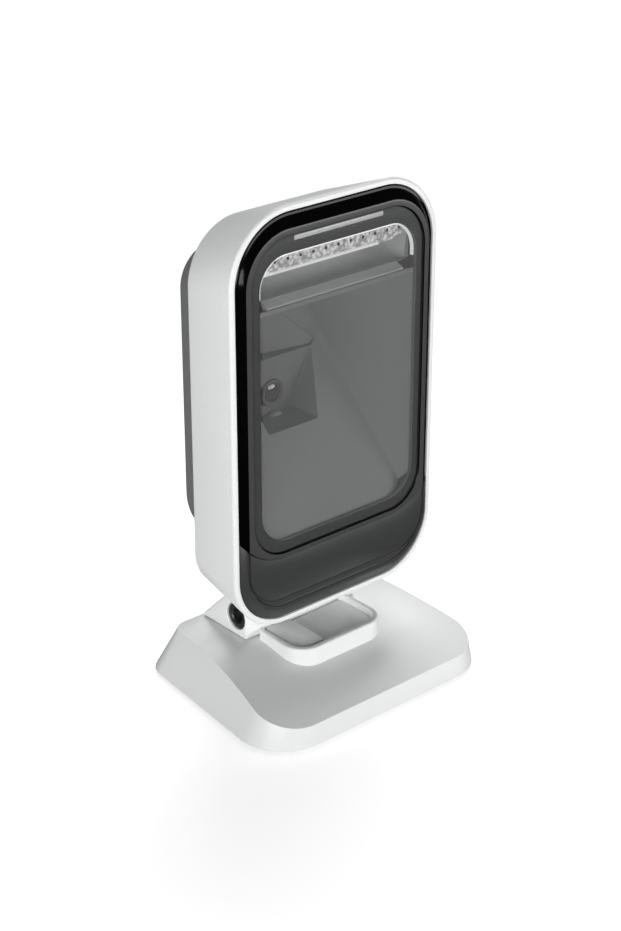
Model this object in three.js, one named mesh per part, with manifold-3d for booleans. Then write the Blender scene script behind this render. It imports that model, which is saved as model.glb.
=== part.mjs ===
// Desktop barcode scanner: a tilting scanning head on a weighted foot.
// Millimetres, +Z up, +Y to the rear, origin at the centre of the footprint on the table.
import * as THREE from "three";
import { mergeVertices } from "three/addons/utils/BufferGeometryUtils.js";
import { ConvexGeometry } from "three/addons/geometries/ConvexGeometry.js";
import Module from "manifold-3d";

const wasm = await Module();
wasm.setup();

// Fits and facets
const gap = 0.3; // clearance between a piece and its seat
const film = 0.05; // clearance of a thin layer on its carrier
const runningFit = 0.08; // radial clearance of the axle in its bores
const overrun = 1; // how far a cut passes the face that it opens
const cornerSteps = 8;
const curveSteps = 14;
const roundSides = 28;
const smallSides = 14;
const hexSides = 6;
const quarterTurn = Math.PI / 2;

// Foot, measured along the lower edge of its cover
const footWidth = 96.2;
const footRearWidth = 81.2;
const footDepth = 74.1;
const footFrontCorner = 16;
const footRearCorner = 10;
const footFrontHeight = 8;
const footSeatHeight = 16.6;
const footSeatDepth = 24.2; // level part of the top, from the rear edge of the footprint
const footWall = 2.2;
const footLift = 0.9; // lower edge of the cover above the table
const sideLeanShare = 0.33; // inward lean of each wall for its height
const frontLeanShare = 0.11;
const rearLeanShare = 0.56;
const cornerLeanShare = 0.32; // loss of corner radius for the height
const rampTangentShare = 0.605; // where the two tangents of the ramp meet

// Collar, the raised hollow rim in front of the hinge
const collarWidth = 34.4; // over the rim
const collarReach = 16.7; // from its rear to the front of the rim
const collarRearHeight = 19;
const collarFrontHeight = 16.2;
const collarCorner = 8;
const collarFlare = 5.2; // how far the wall spreads down to its root
const collarRoot = 11.3; // height of the root
const collarWaist = 14.4; // height where the flare becomes a steep wall
const collarWaistFlare = 2;
const collarUnderside = 7.4; // height of the lowest part inside the foot
const collarWall = 1.4;
const recessRidgeHeight = 12.8;
const recessFall = 3.4; // drop of the roof-shaped floor to each side
const recessDraft = 0.8;

// Base plate, ballast and feet
const plateThickness = 1.8;
const ballastThickness = 3.4;
const ballastInset = 8;
const ballastStepThickness = 5.2;
const ballastStepMargin = 1.5; // from the step to the rear bosses
const ballastStepDepth = 17;
const ballastStepInset = 13.4; // from the rear edge of the footprint
const rubberFootRadius = 5;
const rubberFootFrontInset = 13;
const rubberFootRearInset = 12;
const rubberFootEdge = 13.8; // from the side of the footprint
const bossRadius = 3.2;
const bossEdge = 14; // from the side of the footprint
const bossInset = 24;

// Screws
const screwRadius = 1.3;
const screwHeadRadius = 2.6;
const screwHeadHeight = 0.9;
const screwDriveRadius = 1;
const screwDriveDepth = 0.5;
const screwShoulderShare = 0.35;
const baseScrewLength = 6;
const yokeScrewLength = 8;
const yokeScrewInset = 5.5; // from the end of the yoke
const yokeScrewSetback = 8; // behind the hinge axis

// Hinge
const hingeSetback = 26.6; // from the rear edge of the footprint
const hingeHeight = 23.45;
const yokeWidth = 47;
const yokeFront = 5.1; // from the hinge axis to the front face
const yokeRear = 16.6; // from the hinge axis to the rear face
const yokeTop = 7; // above the hinge axis
const yokeHeel = 0.9; // height of the upright rear edge
const yokeCorner = 4;
const yokeSlopeTop = 3.9; // from the hinge axis to the head of the rear slope
const yokeSlotWidth = 25.2;
const yokeSlotReach = 10.2; // from the hinge axis to the back of the slot
const yokeWeb = 1.5; // thickness of the floor of the slot
const capRadius = 4.25;
const capLength = 2.9;
const capBore = 2.4;
const capSink = 0.5; // outer face of the cap inside the end of the yoke
const axleRadius = 2.5;
const axleHeadRadius = 4.1;
const axleHeadLength = 2.4;
const axleSocketRadius = 1.5;
const axleSocketDepth = 1.2;
const nutRadius = 4.1;
const nutThickness = 2.4;
const washerThickness = 0.7;
const washerRadius = 4.4;
const knuckleRadius = 4.7;
const neckWidth = 20;
const neckDepth = 7;
const neckRear = 1.8; // rear face of the neck behind the hinge axis
const neckRelief = 0.6; // room round the neck in the floor of the housing
const flangeWidth = 38;
const flangeDepth = 15;
const flangeThickness = 2.4;
const flangeMiddle = 14.5; // behind the face plane
const flangeScrewInset = 4;
const flangeScrewShare = 0.8; // depth of its bore in the floor of the housing

// Head, face plane and outlines
const faceLead = 21.34; // from the hinge axis to the face plane
const faceHeight = 32.24; // lower edge of the bezel above the table
const bezelWidth = 77.5;
const bezelHeight = 130.8;
const bezelTopCorner = 20;
const bezelBottomCorner = 17.8;
const rimWidth = 2.2; // white rim round the bezel
const rimLead = 0.6; // rim in front of the face plane
const rimRound = 0.9;
const rimRoundShare = 0.3;
const housingDepth = 25.85;
const housingRearWidth = 72.3;
const housingRearBottom = 2.6; // above the lower edge of the bezel
const housingRearTop = 124.2;
const housingRearTopCorner = 19.4;
const housingRearBottomCorner = 13.9;
const housingRearRound = 1.2;
const housingWall = 2;
const housingFloor = 3;
const openingMargin = 11.4; // from the rear outline to the opening behind the electronics
const openingCorner = 8;

// Bezel, window and lower panel
const plateauLead = 2.2; // raised front of the bezel
const edgeLead = 0.4; // outer edge of the bezel in front of the face plane
const chamferSide = 2.8;
const chamferTop = 4.5;
const plateauTopCorner = 16;
const bezelThickness = 2.2; // behind the face plane
const glassWidth = 67.6;
const glassBottom = 23.5;
const glassTop = 124.3;
const glassTopCorner = 14;
const glassBottomCorner = 12;
const glassThickness = 0.8;
const maskThickness = 0.3;
const gasketThickness = 1.2;
const clearWidth = 61.4;
const clearBottom = 27.4;
const clearTop = 118.9;
const clearCorner = 10;
const ledgeReveal = 0.8;
const panelTop = 21.7;
const panelShoulder = 20; // radius of the curve that rises at each side
const panelShoulderWidth = 83.5;
const panelLead = 1.9; // raised front of the panel
const panelChamferSide = 1.4;
const panelChamferBottom = 3.6;
const panelCorner = 15.7;
const grooveWidth = 0.7;
const grooveDepth = 0.5;
const grooveSpan = 73.9;
const grooveBottom = 7.2;
const grooveCorner = 13.2;
const barWidth = 35;
const barHeight = 1.5;
const barMiddle = 123;
const barDepth = 7;

// Optics
const baffleWall = 1;
const baffleFlange = 1.6;
const baffleMouthWidth = 60.2; // on the face plane
const baffleMouthBottom = 27.2;
const baffleMouthTop = 101.6;
const baffleDepth = 29.5;
const baffleBackWidth = 25;
const baffleBackBottom = 88.5;
const baffleBackTop = 92.5;
const baffleSnout = 0.3; // front end behind the face plane
const flangeSpan = 66;
const flangeBottom = 24.2;
const flangeTop = 103.2;
const flangeCorner = 8;
const pocketSide = -5;
const pocketBottomWidth = 20;
const pocketTopWidth = 26.6;
const pocketBottom = 55.2;
const pocketTop = 78.6;
const pocketDepth = 26;
const cameraHeight = 63;
const barrelRadius = 4.4;
const barrelLead = 2.5; // in front of the back of the pocket
const barrelFlangeRadius = 5.6;
const barrelFlangeLength = 1.6;
const barrelBore = 3.1;
const lensThickness = 1.6;
const lensSink = 0.5;
const bracketWidth = 22;
const bracketHeight = 18;
const bracketThickness = 2;
const bracketWindow = 9.6;
const cameraBoardWidth = 24;
const cameraBoardHeight = 22;
const boardThickness = 1.2;
const sensorWidth = 8;
const sensorHeight = 7;
const sensorThickness = 0.9;
const lampBoardWidth = 54;
const lampBoardBottom = 112.3;
const lampBoardTop = 120.4;
const lampCount = 9;
const lampPitch = 5.8;
const lampWidth = 3;
const lampHeight = 2.4;
const lampLead = 0.6;
const lampRise = 2.9; // lamp middle above the lower edge of its board
const lensBarWidth = 65;
const lensBarBottom = 103.6;
const lensBarDip = 6; // fall of the curve's tangent behind its front edge
const lensBarDepth = 12.6;
const lensBarRise = 7;
const lensBarTurnShare = 0.6;
const lensBarWall = 1.2;

// Electronics and rear cover
const coverInset = 3.25; // side of the cover inside the side of the housing's rear
const coverBottom = 12.2;
const coverTop = 114.8;
const coverTopCorner = 14;
const coverBottomCorner = 21;
const coverDepth = 10.2;
const coverTaper = 1;
const coverRound = 3;
const coverWall = 1.9;
const coverScrewInset = 11.8; // from the side of the housing's rear
const coverScrewRise = 12; // from the upper and the lower edge
const coverScrewLength = 9.2;
const coverScrewSeat = 3.4; // depth of the screw seat behind the housing
const coverBossRadius = 4.2;
const housingBossRadius = 3.4;
const housingBossLength = 7;
const slotCount = 5;
const slotWidth = 1.5;
const slotLength = 8;
const slotPitch = 3.4;
const mainBoardBottom = 16;
const mainBoardTop = 50;
const mainBoardSetback = 24; // from the face plane
const standoffRadius = 2;
const standoffInset = 2.6;
const shieldWidth = 18;
const shieldHeight = 16;
const shieldThickness = 2.6;
const shieldSide = -9;
const shieldMiddle = 38.5;
const beeperRadius = 5.5;
const beeperHeight = 5.6;
const beeperPort = 1.2;
const beeperPortDepth = 3;
const beeperSide = 14;
const beeperMiddle = 38;
const socketWidth = 15.4;
const socketHeight = 16;
const socketDepth = 7.4;
const socketWall = 1.2;

// Finishes, from the photograph
const finishes = {
  footWhite: { color: 0xe2e4e4, roughness: 0.42, metalness: 0 },
  shellSilver: { color: 0xd9dbda, roughness: 0.46, metalness: 0 },
  glossBlack: { color: 0x08090a, roughness: 0.12, metalness: 0 },
  panelGrey: { color: 0x3f4040, roughness: 0.4, metalness: 0 },
  coverGrey: { color: 0x4d5050, roughness: 0.55, metalness: 0 },
  black: { color: 0x141414, roughness: 0.6, metalness: 0 },
  rubber: { color: 0x1b1b1b, roughness: 0.85, metalness: 0 },
  steel: { color: 0xb7babd, roughness: 0.32, metalness: 1 },
  glass: { color: 0x9aa0a0, roughness: 0.04, metalness: 0 },
  maskGrey: { color: 0x3c3d3d, roughness: 0.5, metalness: 0 },
  lightGuide: { color: 0xeef0f0, roughness: 0.3, metalness: 0 },
  baffleGrey: { color: 0x6b6d6d, roughness: 0.7, metalness: 0 },
  boardGreen: { color: 0x1d4a35, roughness: 0.5, metalness: 0 },
  boardWhite: { color: 0xe9eae8, roughness: 0.5, metalness: 0 },
  chip: { color: 0x202224, roughness: 0.45, metalness: 0 },
  socket: { color: 0x2a2b2c, roughness: 0.5, metalness: 0 },
};

// Places worked out from the sizes above
const footFront = -footDepth / 2;
const footRear = footDepth / 2;
const rampStart = footFront + (footFrontHeight - footLift) * frontLeanShare;
const rampEnd = footRear - footSeatDepth;
const hingeY = footRear - hingeSetback;
const faceY = hingeY - faceLead;
const plateBottom = footLift + gap * 2;
const plateTop = plateBottom + plateThickness;
const ballastBottom = plateTop + gap;
const yokeFace = hingeY - yokeFront;
const yokeBottom = footSeatHeight + gap;
const yokePeak = hingeHeight + yokeTop;
const yokeBack = hingeY + yokeRear;
const yokeScrewSide = yokeWidth / 2 - yokeScrewInset;
const collarRear = yokeFace - gap;
const collarFront = collarRear - collarReach;
const capOuter = yokeWidth / 2 - capSink;
const capInner = capOuter - capLength;
const axleSeat = capInner - gap * 2 - axleHeadLength; // bottom of the recess in each end
const housingWidth = bezelWidth + 2 * rimWidth;
const housingBottom = -rimWidth;
const housingTop = bezelHeight + rimWidth;
const floorSlope = Math.atan2(housingRearBottom - housingBottom, housingDepth);
const baffleFront = bezelThickness + gap;
const glassFront = -plateauLead;
const glassBack = glassFront + glassThickness;
const maskBack = glassBack + film + maskThickness;
const gasketFront = maskBack + gap;
const ledgeFront = gasketFront + gasketThickness + gap;
const coverWidth = housingRearWidth - 2 * coverInset;
const coverScrewSide = housingRearWidth / 2 - coverScrewInset;
const mainBoardWidth = 2 * (coverScrewSide - housingBossRadius - gap);
const coverFront = housingDepth + gap;
const coverBack = coverFront + coverDepth;
const coverInner = coverBack - coverWall;
const boardBack = mainBoardSetback + boardThickness;
const pocketBack = pocketDepth + baffleWall;
const barrelBack = pocketBack + gap + barrelFlangeLength;
const bracketFront = barrelBack + gap;
const cameraBoardFront = bracketFront + bracketThickness + gap;

// Closed solids for cutting and joining

function solid(geometry) {
  const bare = geometry.clone();
  bare.deleteAttribute("normal");
  bare.deleteAttribute("uv");
  const merged = mergeVertices(bare);
  const corners = merged.index.array;
  const kept = [];
  for (let i = 0; i < corners.length; i += 3) {
    const [a, b, c] = [corners[i], corners[i + 1], corners[i + 2]];
    if (a !== b && b !== c && c !== a) kept.push(a, b, c);
  }
  return new wasm.Manifold(
    new wasm.Mesh({
      numProp: 3,
      vertProperties: new Float32Array(merged.attributes.position.array),
      triVerts: new Uint32Array(kept),
    }),
  );
}

function geometryOf(body) {
  const mesh = body.getMesh();
  const geometry = new THREE.BufferGeometry();
  geometry.setAttribute("position", new THREE.BufferAttribute(mesh.vertProperties, mesh.numProp));
  geometry.setIndex(new THREE.BufferAttribute(mesh.triVerts, 1));
  geometry.computeVertexNormals();
  return geometry;
}

function joined(...geometries) {
  return geometries.map(solid).reduce((whole, part) => whole.add(part));
}

function cut(body, ...geometries) {
  return geometries.map(solid).reduce((rest, tool) => rest.subtract(tool), body);
}

// Outlines

// A closed outline whose corners are rounded: each corner is { x, y, radius }.
function rounded(corners) {
  const count = corners.length;
  const points = [];
  corners.forEach((corner, index) => {
    const here = new THREE.Vector2(corner.x, corner.y);
    const before = corners[(index + count - 1) % count];
    const after = corners[(index + 1) % count];
    const back = new THREE.Vector2(before.x, before.y).sub(here).normalize();
    const ahead = new THREE.Vector2(after.x, after.y).sub(here).normalize();
    const half = Math.acos(back.dot(ahead)) / 2;
    const middle = back.clone().add(ahead).normalize();
    middle.multiplyScalar(corner.radius / Math.sin(half)).add(here);
    const tangent = corner.radius / Math.tan(half);
    const first = back.multiplyScalar(tangent).add(here).sub(middle);
    const last = ahead.multiplyScalar(tangent).add(here).sub(middle);
    const sweep = Math.atan2(first.cross(last), first.dot(last));
    for (let step = 0; step <= cornerSteps; step++) {
      const spoke = first.clone().rotateAround(new THREE.Vector2(), (sweep * step) / cornerSteps);
      points.push(spoke.add(middle));
    }
  });
  return points;
}

// A rounded outline that is the same on both sides of the middle plane.
function frameOutline({ width, topWidth = width, bottom, top, bottomCorner, topCorner }, inset = 0) {
  const low = width / 2 - inset;
  const high = topWidth / 2 - inset;
  return rounded([
    { x: -low, y: bottom + inset, radius: bottomCorner - inset },
    { x: low, y: bottom + inset, radius: bottomCorner - inset },
    { x: high, y: top - inset, radius: topCorner - inset },
    { x: -high, y: top - inset, radius: topCorner - inset },
  ]);
}

function rectangle(width, bottom, top, middle = 0) {
  return [
    new THREE.Vector2(middle - width / 2, bottom),
    new THREE.Vector2(middle + width / 2, bottom),
    new THREE.Vector2(middle + width / 2, top),
    new THREE.Vector2(middle - width / 2, top),
  ];
}

// Solids from outlines

// An outline in x and z, carried from one depth to another along Y.
function slab(outline, front, back, openings = []) {
  const shape = new THREE.Shape(outline);
  shape.holes = openings.map((points) => new THREE.Path(points));
  const settings = { depth: back - front, bevelEnabled: false, steps: 1 };
  return new THREE.ExtrudeGeometry(shape, settings).rotateX(quarterTurn).translate(0, back, 0);
}

// An outline in y and z, carried along X, centred.
function profileBar(points, width) {
  const settings = { depth: width, bevelEnabled: false, steps: 1 };
  const bar = new THREE.ExtrudeGeometry(new THREE.Shape(points), settings);
  return bar.rotateX(quarterTurn).rotateZ(quarterTurn).translate(-width / 2, 0, 0);
}

// An outline in x and y, carried up from one height to another.
function pad(outline, low, high) {
  const settings = { depth: high - low, bevelEnabled: false, steps: 1 };
  return new THREE.ExtrudeGeometry(new THREE.Shape(outline), settings).translate(0, 0, low);
}

// A skin over sections with equal numbers of points: each section is { outline, at }.
function loft(sections, alongDepth = false) {
  const positions = [];
  const index = [];
  const count = sections[0].outline.length;
  const face = (a, b, c) => (alongDepth ? index.push(a, c, b) : index.push(a, b, c));
  for (const { outline, at } of sections) {
    for (const { x, y } of outline) positions.push(x, alongDepth ? at : y, alongDepth ? y : at);
  }
  for (let level = 0; level + 1 < sections.length; level++) {
    for (let i = 0; i < count; i++) {
      const a = level * count + i;
      const b = level * count + ((i + 1) % count);
      face(a, b, b + count);
      face(a, b + count, a + count);
    }
  }
  const top = (sections.length - 1) * count;
  for (const [a, b, c] of THREE.ShapeUtils.triangulateShape(sections[0].outline, [])) face(c, b, a);
  for (const [a, b, c] of THREE.ShapeUtils.triangulateShape(sections.at(-1).outline, [])) {
    face(top + a, top + b, top + c);
  }
  const geometry = new THREE.BufferGeometry();
  geometry.setAttribute("position", new THREE.Float32BufferAttribute(positions, 3));
  geometry.setIndex(index);
  return geometry;
}

function block(width, depth, height) {
  return new THREE.BoxGeometry(width, depth, height);
}

// Cylinders along each axis, centred
function rodX(radius, length, sides = roundSides) {
  return new THREE.CylinderGeometry(radius, radius, length, sides).rotateZ(quarterTurn);
}

function rodY(radius, length, sides = roundSides) {
  return new THREE.CylinderGeometry(radius, radius, length, sides);
}

function rodZ(radius, length, sides = roundSides) {
  return new THREE.CylinderGeometry(radius, radius, length, sides).rotateX(quarterTurn);
}

// A pan-head screw on the Z axis: the head's seat at zero, the shank upwards.
function screw(length) {
  const round = screwHeadHeight * screwShoulderShare;
  const profile = [
    new THREE.Vector2(0, -screwHeadHeight + screwDriveDepth),
    new THREE.Vector2(screwDriveRadius, -screwHeadHeight + screwDriveDepth),
    new THREE.Vector2(screwDriveRadius, -screwHeadHeight),
    new THREE.Vector2(screwHeadRadius - round, -screwHeadHeight),
    new THREE.Vector2(screwHeadRadius, -screwHeadHeight + round),
    new THREE.Vector2(screwHeadRadius, 0),
    new THREE.Vector2(screwRadius, 0),
    new THREE.Vector2(screwRadius, length - screwRadius / 2),
    new THREE.Vector2(screwRadius / 2, length),
    new THREE.Vector2(0, length),
  ];
  return new THREE.LatheGeometry(profile, smallSides).rotateX(quarterTurn);
}

// Groups and placing

const scanner = new THREE.Group();
const stand = new THREE.Group();
const tilt = new THREE.Group();
const face = new THREE.Group();
scanner.add(stand, tilt);
tilt.position.set(0, hingeY, hingeHeight);
tilt.add(face);
face.position.set(0, faceY - hingeY, faceHeight - hingeHeight);

function place(group, name, shape, finish, x = 0, y = 0, z = 0) {
  const geometry = shape.isBufferGeometry ? shape : geometryOf(shape);
  const mesh = new THREE.Mesh(geometry, new THREE.MeshStandardMaterial(finishes[finish]));
  mesh.name = name;
  mesh.position.set(x, y, z);
  group.add(mesh);
  return mesh;
}

// Foot: cover, plate, ballast, rubber feet and screws

function footOutline(height, inset = 0) {
  const rise = height - footLift;
  const side = sideLeanShare * rise + inset;
  const front = footFront + frontLeanShare * rise + inset;
  const rear = footRear - rearLeanShare * rise - inset;
  const corner = cornerLeanShare * rise + inset;
  return rounded([
    { x: side - footWidth / 2, y: front, radius: footFrontCorner - corner },
    { x: footWidth / 2 - side, y: front, radius: footFrontCorner - corner },
    { x: footRearWidth / 2 - side, y: rear, radius: footRearCorner - corner },
    { x: side - footRearWidth / 2, y: rear, radius: footRearCorner - corner },
  ]);
}

function footMass(low, high, inset = 0) {
  const sections = [
    { outline: footOutline(low, inset), at: low },
    { outline: footOutline(high, inset), at: high },
  ];
  return solid(loft(sections));
}

// Everything below the curved top; the drop lowers it for the inside.
function underRamp(drop = 0) {
  const turn = THREE.MathUtils.lerp(rampStart, rampEnd, rampTangentShare);
  const curve = new THREE.QuadraticBezierCurve(
    new THREE.Vector2(rampStart, footFrontHeight - drop),
    new THREE.Vector2(turn, footSeatHeight - drop),
    new THREE.Vector2(rampEnd, footSeatHeight - drop),
  );
  const points = [
    new THREE.Vector2(footFront - overrun, -overrun),
    new THREE.Vector2(footRear + overrun, -overrun),
    new THREE.Vector2(footRear + overrun, footSeatHeight - drop),
    ...curve.getPoints(curveSteps).reverse(),
    new THREE.Vector2(footFront - overrun, footFrontHeight - drop),
  ];
  return solid(profileBar(points, footWidth + 2 * overrun));
}

function collarOutline(spread, rear = collarRear) {
  const half = collarWidth / 2 + spread;
  const front = collarFront - spread;
  return rounded([
    { x: -half, y: front, radius: collarCorner + spread },
    { x: half, y: front, radius: collarCorner + spread },
    { x: half, y: rear, radius: collarWall },
    { x: -half, y: rear, radius: collarWall },
  ]);
}

// The flared rim: its top falls to the front.
function collarMass() {
  const sections = [
    { outline: collarOutline(collarFlare), at: collarUnderside },
    { outline: collarOutline(collarFlare), at: collarRoot },
    { outline: collarOutline(collarWaistFlare), at: collarWaist },
    { outline: collarOutline(0), at: collarRearHeight + overrun },
  ];
  const ahead = collarFront - collarFlare - overrun;
  const under = [
    new THREE.Vector2(ahead, 0),
    new THREE.Vector2(yokeFace, 0),
    new THREE.Vector2(yokeFace, collarRearHeight),
    new THREE.Vector2(collarFront, collarFrontHeight),
    new THREE.Vector2(ahead, collarFrontHeight),
  ];
  const span = collarWidth + 2 * (collarFlare + overrun);
  return solid(loft(sections)).intersect(solid(profileBar(under, span)));
}

// The hollow in the collar, over a floor with a ridge on the middle plane.
function recess() {
  const half = collarWidth / 2;
  const low = recessRidgeHeight - recessFall;
  const back = collarRear - collarWall;
  const roof = [
    new THREE.Vector2(-half, 0),
    new THREE.Vector2(half, 0),
    new THREE.Vector2(half, low),
    new THREE.Vector2(0, recessRidgeHeight),
    new THREE.Vector2(-half, low),
  ];
  const sections = [
    { outline: collarOutline(-collarWall - recessDraft, back), at: low },
    { outline: collarOutline(-collarWall, back), at: collarRearHeight + overrun },
  ];
  return solid(loft(sections)).subtract(solid(slab(roof, collarFront, yokeFace)));
}

// Half the width of the footprint at a place along its depth
function halfWidthAt(y) {
  return THREE.MathUtils.mapLinear(y, footFront, footRear, footWidth, footRearWidth) / 2;
}

// A spot on the right and its twin on the left, at a distance from the sides of the footprint
function pairFrom(edge, y) {
  const x = halfWidthAt(y) - edge;
  return [
    [x, y],
    [-x, y],
  ];
}

const bossSpots = [
  ...pairFrom(bossEdge, footFront + bossInset),
  ...pairFrom(bossEdge, footRear - bossInset),
];

const yokeScrewSpots = [-yokeScrewSide, yokeScrewSide];

// An upright cylinder between two heights
function post(radius, x, y, low, high, sides = smallSides) {
  return rodZ(radius, high - low, sides).translate(x, y, (low + high) / 2);
}

function baseCover() {
  const shell = footMass(footLift, footSeatHeight + overrun).intersect(underRamp());
  const room = footMass(footLift - overrun, footSeatHeight, footWall);
  let cover = shell.subtract(room.intersect(underRamp(footWall)));
  for (const [x, y] of bossSpots) {
    const boss = solid(post(bossRadius, x, y, plateTop + gap, footSeatHeight));
    const inside = underRamp(footWall / 2).intersect(footMass(footLift, footSeatHeight));
    cover = cover.add(boss.intersect(inside));
  }
  cover = cover.add(collarMass()).subtract(recess());
  const bores = bossSpots.map(([x, y]) => post(screwRadius + gap, x, y, 0, plateBottom + baseScrewLength));
  const holes = yokeScrewSpots.map((x) => {
    return post(screwRadius + gap, x, hingeY + yokeScrewSetback, collarUnderside, yokeBottom + overrun);
  });
  return cut(cover, ...bores, ...holes);
}

place(stand, "base_cover", baseCover(), "footWhite");

const plateHoles = bossSpots.map(([x, y]) => post(screwRadius + gap, x, y, 0, plateTop + overrun));
const plateMass = solid(pad(footOutline(plateTop, footWall + gap), plateBottom, plateTop));
place(stand, "base_plate", cut(plateMass, ...plateHoles), "black");

function ballast() {
  const outline = footOutline(ballastBottom, ballastInset);
  const low = solid(pad(outline, ballastBottom, ballastBottom + ballastThickness));
  const boss = halfWidthAt(footRear - bossInset) - bossEdge - bossRadius - gap;
  const height = ballastStepThickness + ballastThickness;
  const step = block(2 * (boss - ballastStepMargin), ballastStepDepth, height);
  const middle = footRear - ballastStepInset - ballastStepDepth / 2;
  step.translate(0, middle, ballastBottom + height / 2);
  const holes = bossSpots.map(([x, y]) => post(bossRadius + gap, x, y, 0, footSeatHeight));
  return cut(low.add(solid(step)), ...holes);
}

place(stand, "ballast_weight", ballast(), "steel");

const rubberRows = [
  ["front", footFront + rubberFootFrontInset],
  ["rear", footRear - rubberFootRearInset],
];
for (const [row, y] of rubberRows) {
  const height = plateBottom - gap;
  const x = halfWidthAt(y) - rubberFootEdge;
  for (const [name, side] of [
    ["left", -1],
    ["right", 1],
  ]) {
    const disc = rodZ(rubberFootRadius, height);
    place(stand, `rubber_foot_${row}_${name}`, disc, "rubber", side * x, y, height / 2);
  }
}

bossSpots.forEach(([x, y], index) => {
  place(stand, `base_screw_${index + 1}`, screw(baseScrewLength), "steel", x, y, plateBottom - gap);
});

// Hinge yoke, axle and its trim

function yoke() {
  const corner = new THREE.EllipseCurve(
    yokeFace + yokeCorner,
    yokePeak - yokeCorner,
    yokeCorner,
    yokeCorner,
    Math.PI,
    quarterTurn,
    true,
  );
  const points = [
    new THREE.Vector2(yokeFace, yokeBottom),
    ...corner.getPoints(cornerSteps),
    new THREE.Vector2(hingeY + yokeSlopeTop, yokePeak),
    new THREE.Vector2(yokeBack, yokeBottom + yokeHeel),
    new THREE.Vector2(yokeBack, yokeBottom),
  ].reverse();
  const slotFloor = yokeBottom + yokeWeb;
  const slotHeight = yokePeak + overrun - slotFloor;
  const slotFront = yokeFace - overrun;
  const slotBack = hingeY + yokeSlotReach;
  const slot = block(yokeSlotWidth, slotBack - slotFront, slotHeight);
  slot.translate(0, (slotBack + slotFront) / 2, slotFloor + slotHeight / 2);
  const bore = rodX(axleRadius + runningFit, yokeWidth).translate(0, hingeY, hingeHeight);
  const recessLength = yokeWidth / 2 + overrun - axleSeat;
  const ends = [-1, 1].map((side) => {
    const middle = side * (axleSeat + recessLength / 2);
    return rodX(capRadius + gap, recessLength).translate(middle, hingeY, hingeHeight);
  });
  const holes = yokeScrewSpots.map((x) => {
    const top = footSeatHeight - footWall + yokeScrewLength;
    return post(screwRadius + gap, x, hingeY + yokeScrewSetback, footSeatHeight, top);
  });
  return cut(solid(profileBar(points, yokeWidth)), slot, bore, ...ends, ...holes);
}

place(stand, "hinge_yoke", yoke(), "footWhite");
yokeScrewSpots.forEach((x, index) => {
  const seat = footSeatHeight - footWall - gap;
  const y = hingeY + yokeScrewSetback;
  place(stand, `yoke_screw_${index + 1}`, screw(yokeScrewLength), "steel", x, y, seat);
});

const hinge = new THREE.Group();
hinge.position.set(0, hingeY, hingeHeight);
stand.add(hinge);

const cap = cut(solid(rodX(capRadius, capLength)), rodX(capBore, capLength + overrun));
place(hinge, "hinge_cap_left", cap, "black", -(capOuter + capInner) / 2);
place(hinge, "hinge_cap_right", cap, "black", (capOuter + capInner) / 2);

function axle() {
  const seat = axleSeat + gap;
  const end = seat + axleHeadLength;
  const profile = [
    new THREE.Vector2(0, -seat - nutThickness + gap),
    new THREE.Vector2(axleRadius, -seat - nutThickness + gap),
    new THREE.Vector2(axleRadius, seat),
    new THREE.Vector2(axleHeadRadius, seat),
    new THREE.Vector2(axleHeadRadius, end - gap),
    new THREE.Vector2(axleHeadRadius - gap, end),
    new THREE.Vector2(axleSocketRadius, end),
    new THREE.Vector2(axleSocketRadius, end - axleSocketDepth),
    new THREE.Vector2(0, end - axleSocketDepth),
  ];
  return new THREE.LatheGeometry(profile, roundSides).rotateZ(quarterTurn);
}

place(hinge, "hinge_axle", axle(), "steel");

const nut = cut(
  solid(rodX(nutRadius, nutThickness, hexSides)),
  rodX(axleRadius + runningFit, nutThickness + overrun),
);
place(hinge, "axle_nut", nut, "steel", axleSeat + gap + nutThickness / 2);

const washer = cut(
  solid(rodX(washerRadius, washerThickness)),
  rodX(axleRadius + runningFit, washerThickness + overrun),
);
const washerSide = yokeSlotWidth / 2 - gap - washerThickness / 2;
place(hinge, "friction_washer_left", washer, "steel", -washerSide);
place(hinge, "friction_washer_right", washer, "steel", washerSide);

// Foot of the head: it turns on the axle and its flange lies on the floor of the housing

const flangeHeight =
  housingBottom +
  Math.tan(floorSlope) * flangeMiddle +
  housingFloor +
  (gap + flangeThickness / 2) / Math.cos(floorSlope);

// Moves a shape from the middle of the flange to the frame of the face.
function onFlange(geometry) {
  return geometry.rotateX(floorSlope).translate(0, flangeMiddle, flangeHeight);
}

const flangeScrewSide = flangeWidth / 2 - flangeScrewInset;
const flangeBoreDepth = housingFloor * flangeScrewShare;

function flangeBore(x) {
  const length = flangeThickness + gap + flangeBoreDepth + overrun;
  const middle = flangeThickness / 2 + overrun - length / 2;
  return onFlange(rodZ(screwRadius + gap, length, smallSides).translate(x, 0, middle));
}

function hingeFoot() {
  const knuckleWidth = yokeSlotWidth - 4 * gap - 2 * washerThickness;
  const axis = new THREE.Vector3(0, hingeY - faceY, hingeHeight - faceHeight);
  const reach = flangeHeight - axis.z + Math.tan(floorSlope) * (axis.y - flangeMiddle);
  const neck = block(neckWidth, neckDepth, reach).translate(0, neckRear - neckDepth / 2, reach / 2);
  const knuckle = rodX(knuckleRadius, knuckleWidth);
  const bore = rodX(axleRadius + runningFit, knuckleWidth + overrun);
  const flange = onFlange(block(flangeWidth, flangeDepth, flangeThickness));
  const body = joined(
    neck.translate(axis.x, axis.y, axis.z),
    knuckle.translate(axis.x, axis.y, axis.z),
    flange,
  );
  const screws = [-flangeScrewSide, flangeScrewSide].map(flangeBore);
  return cut(body, bore.translate(axis.x, axis.y, axis.z), ...screws);
}

place(face, "hinge_foot", hingeFoot(), "steel");

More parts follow.
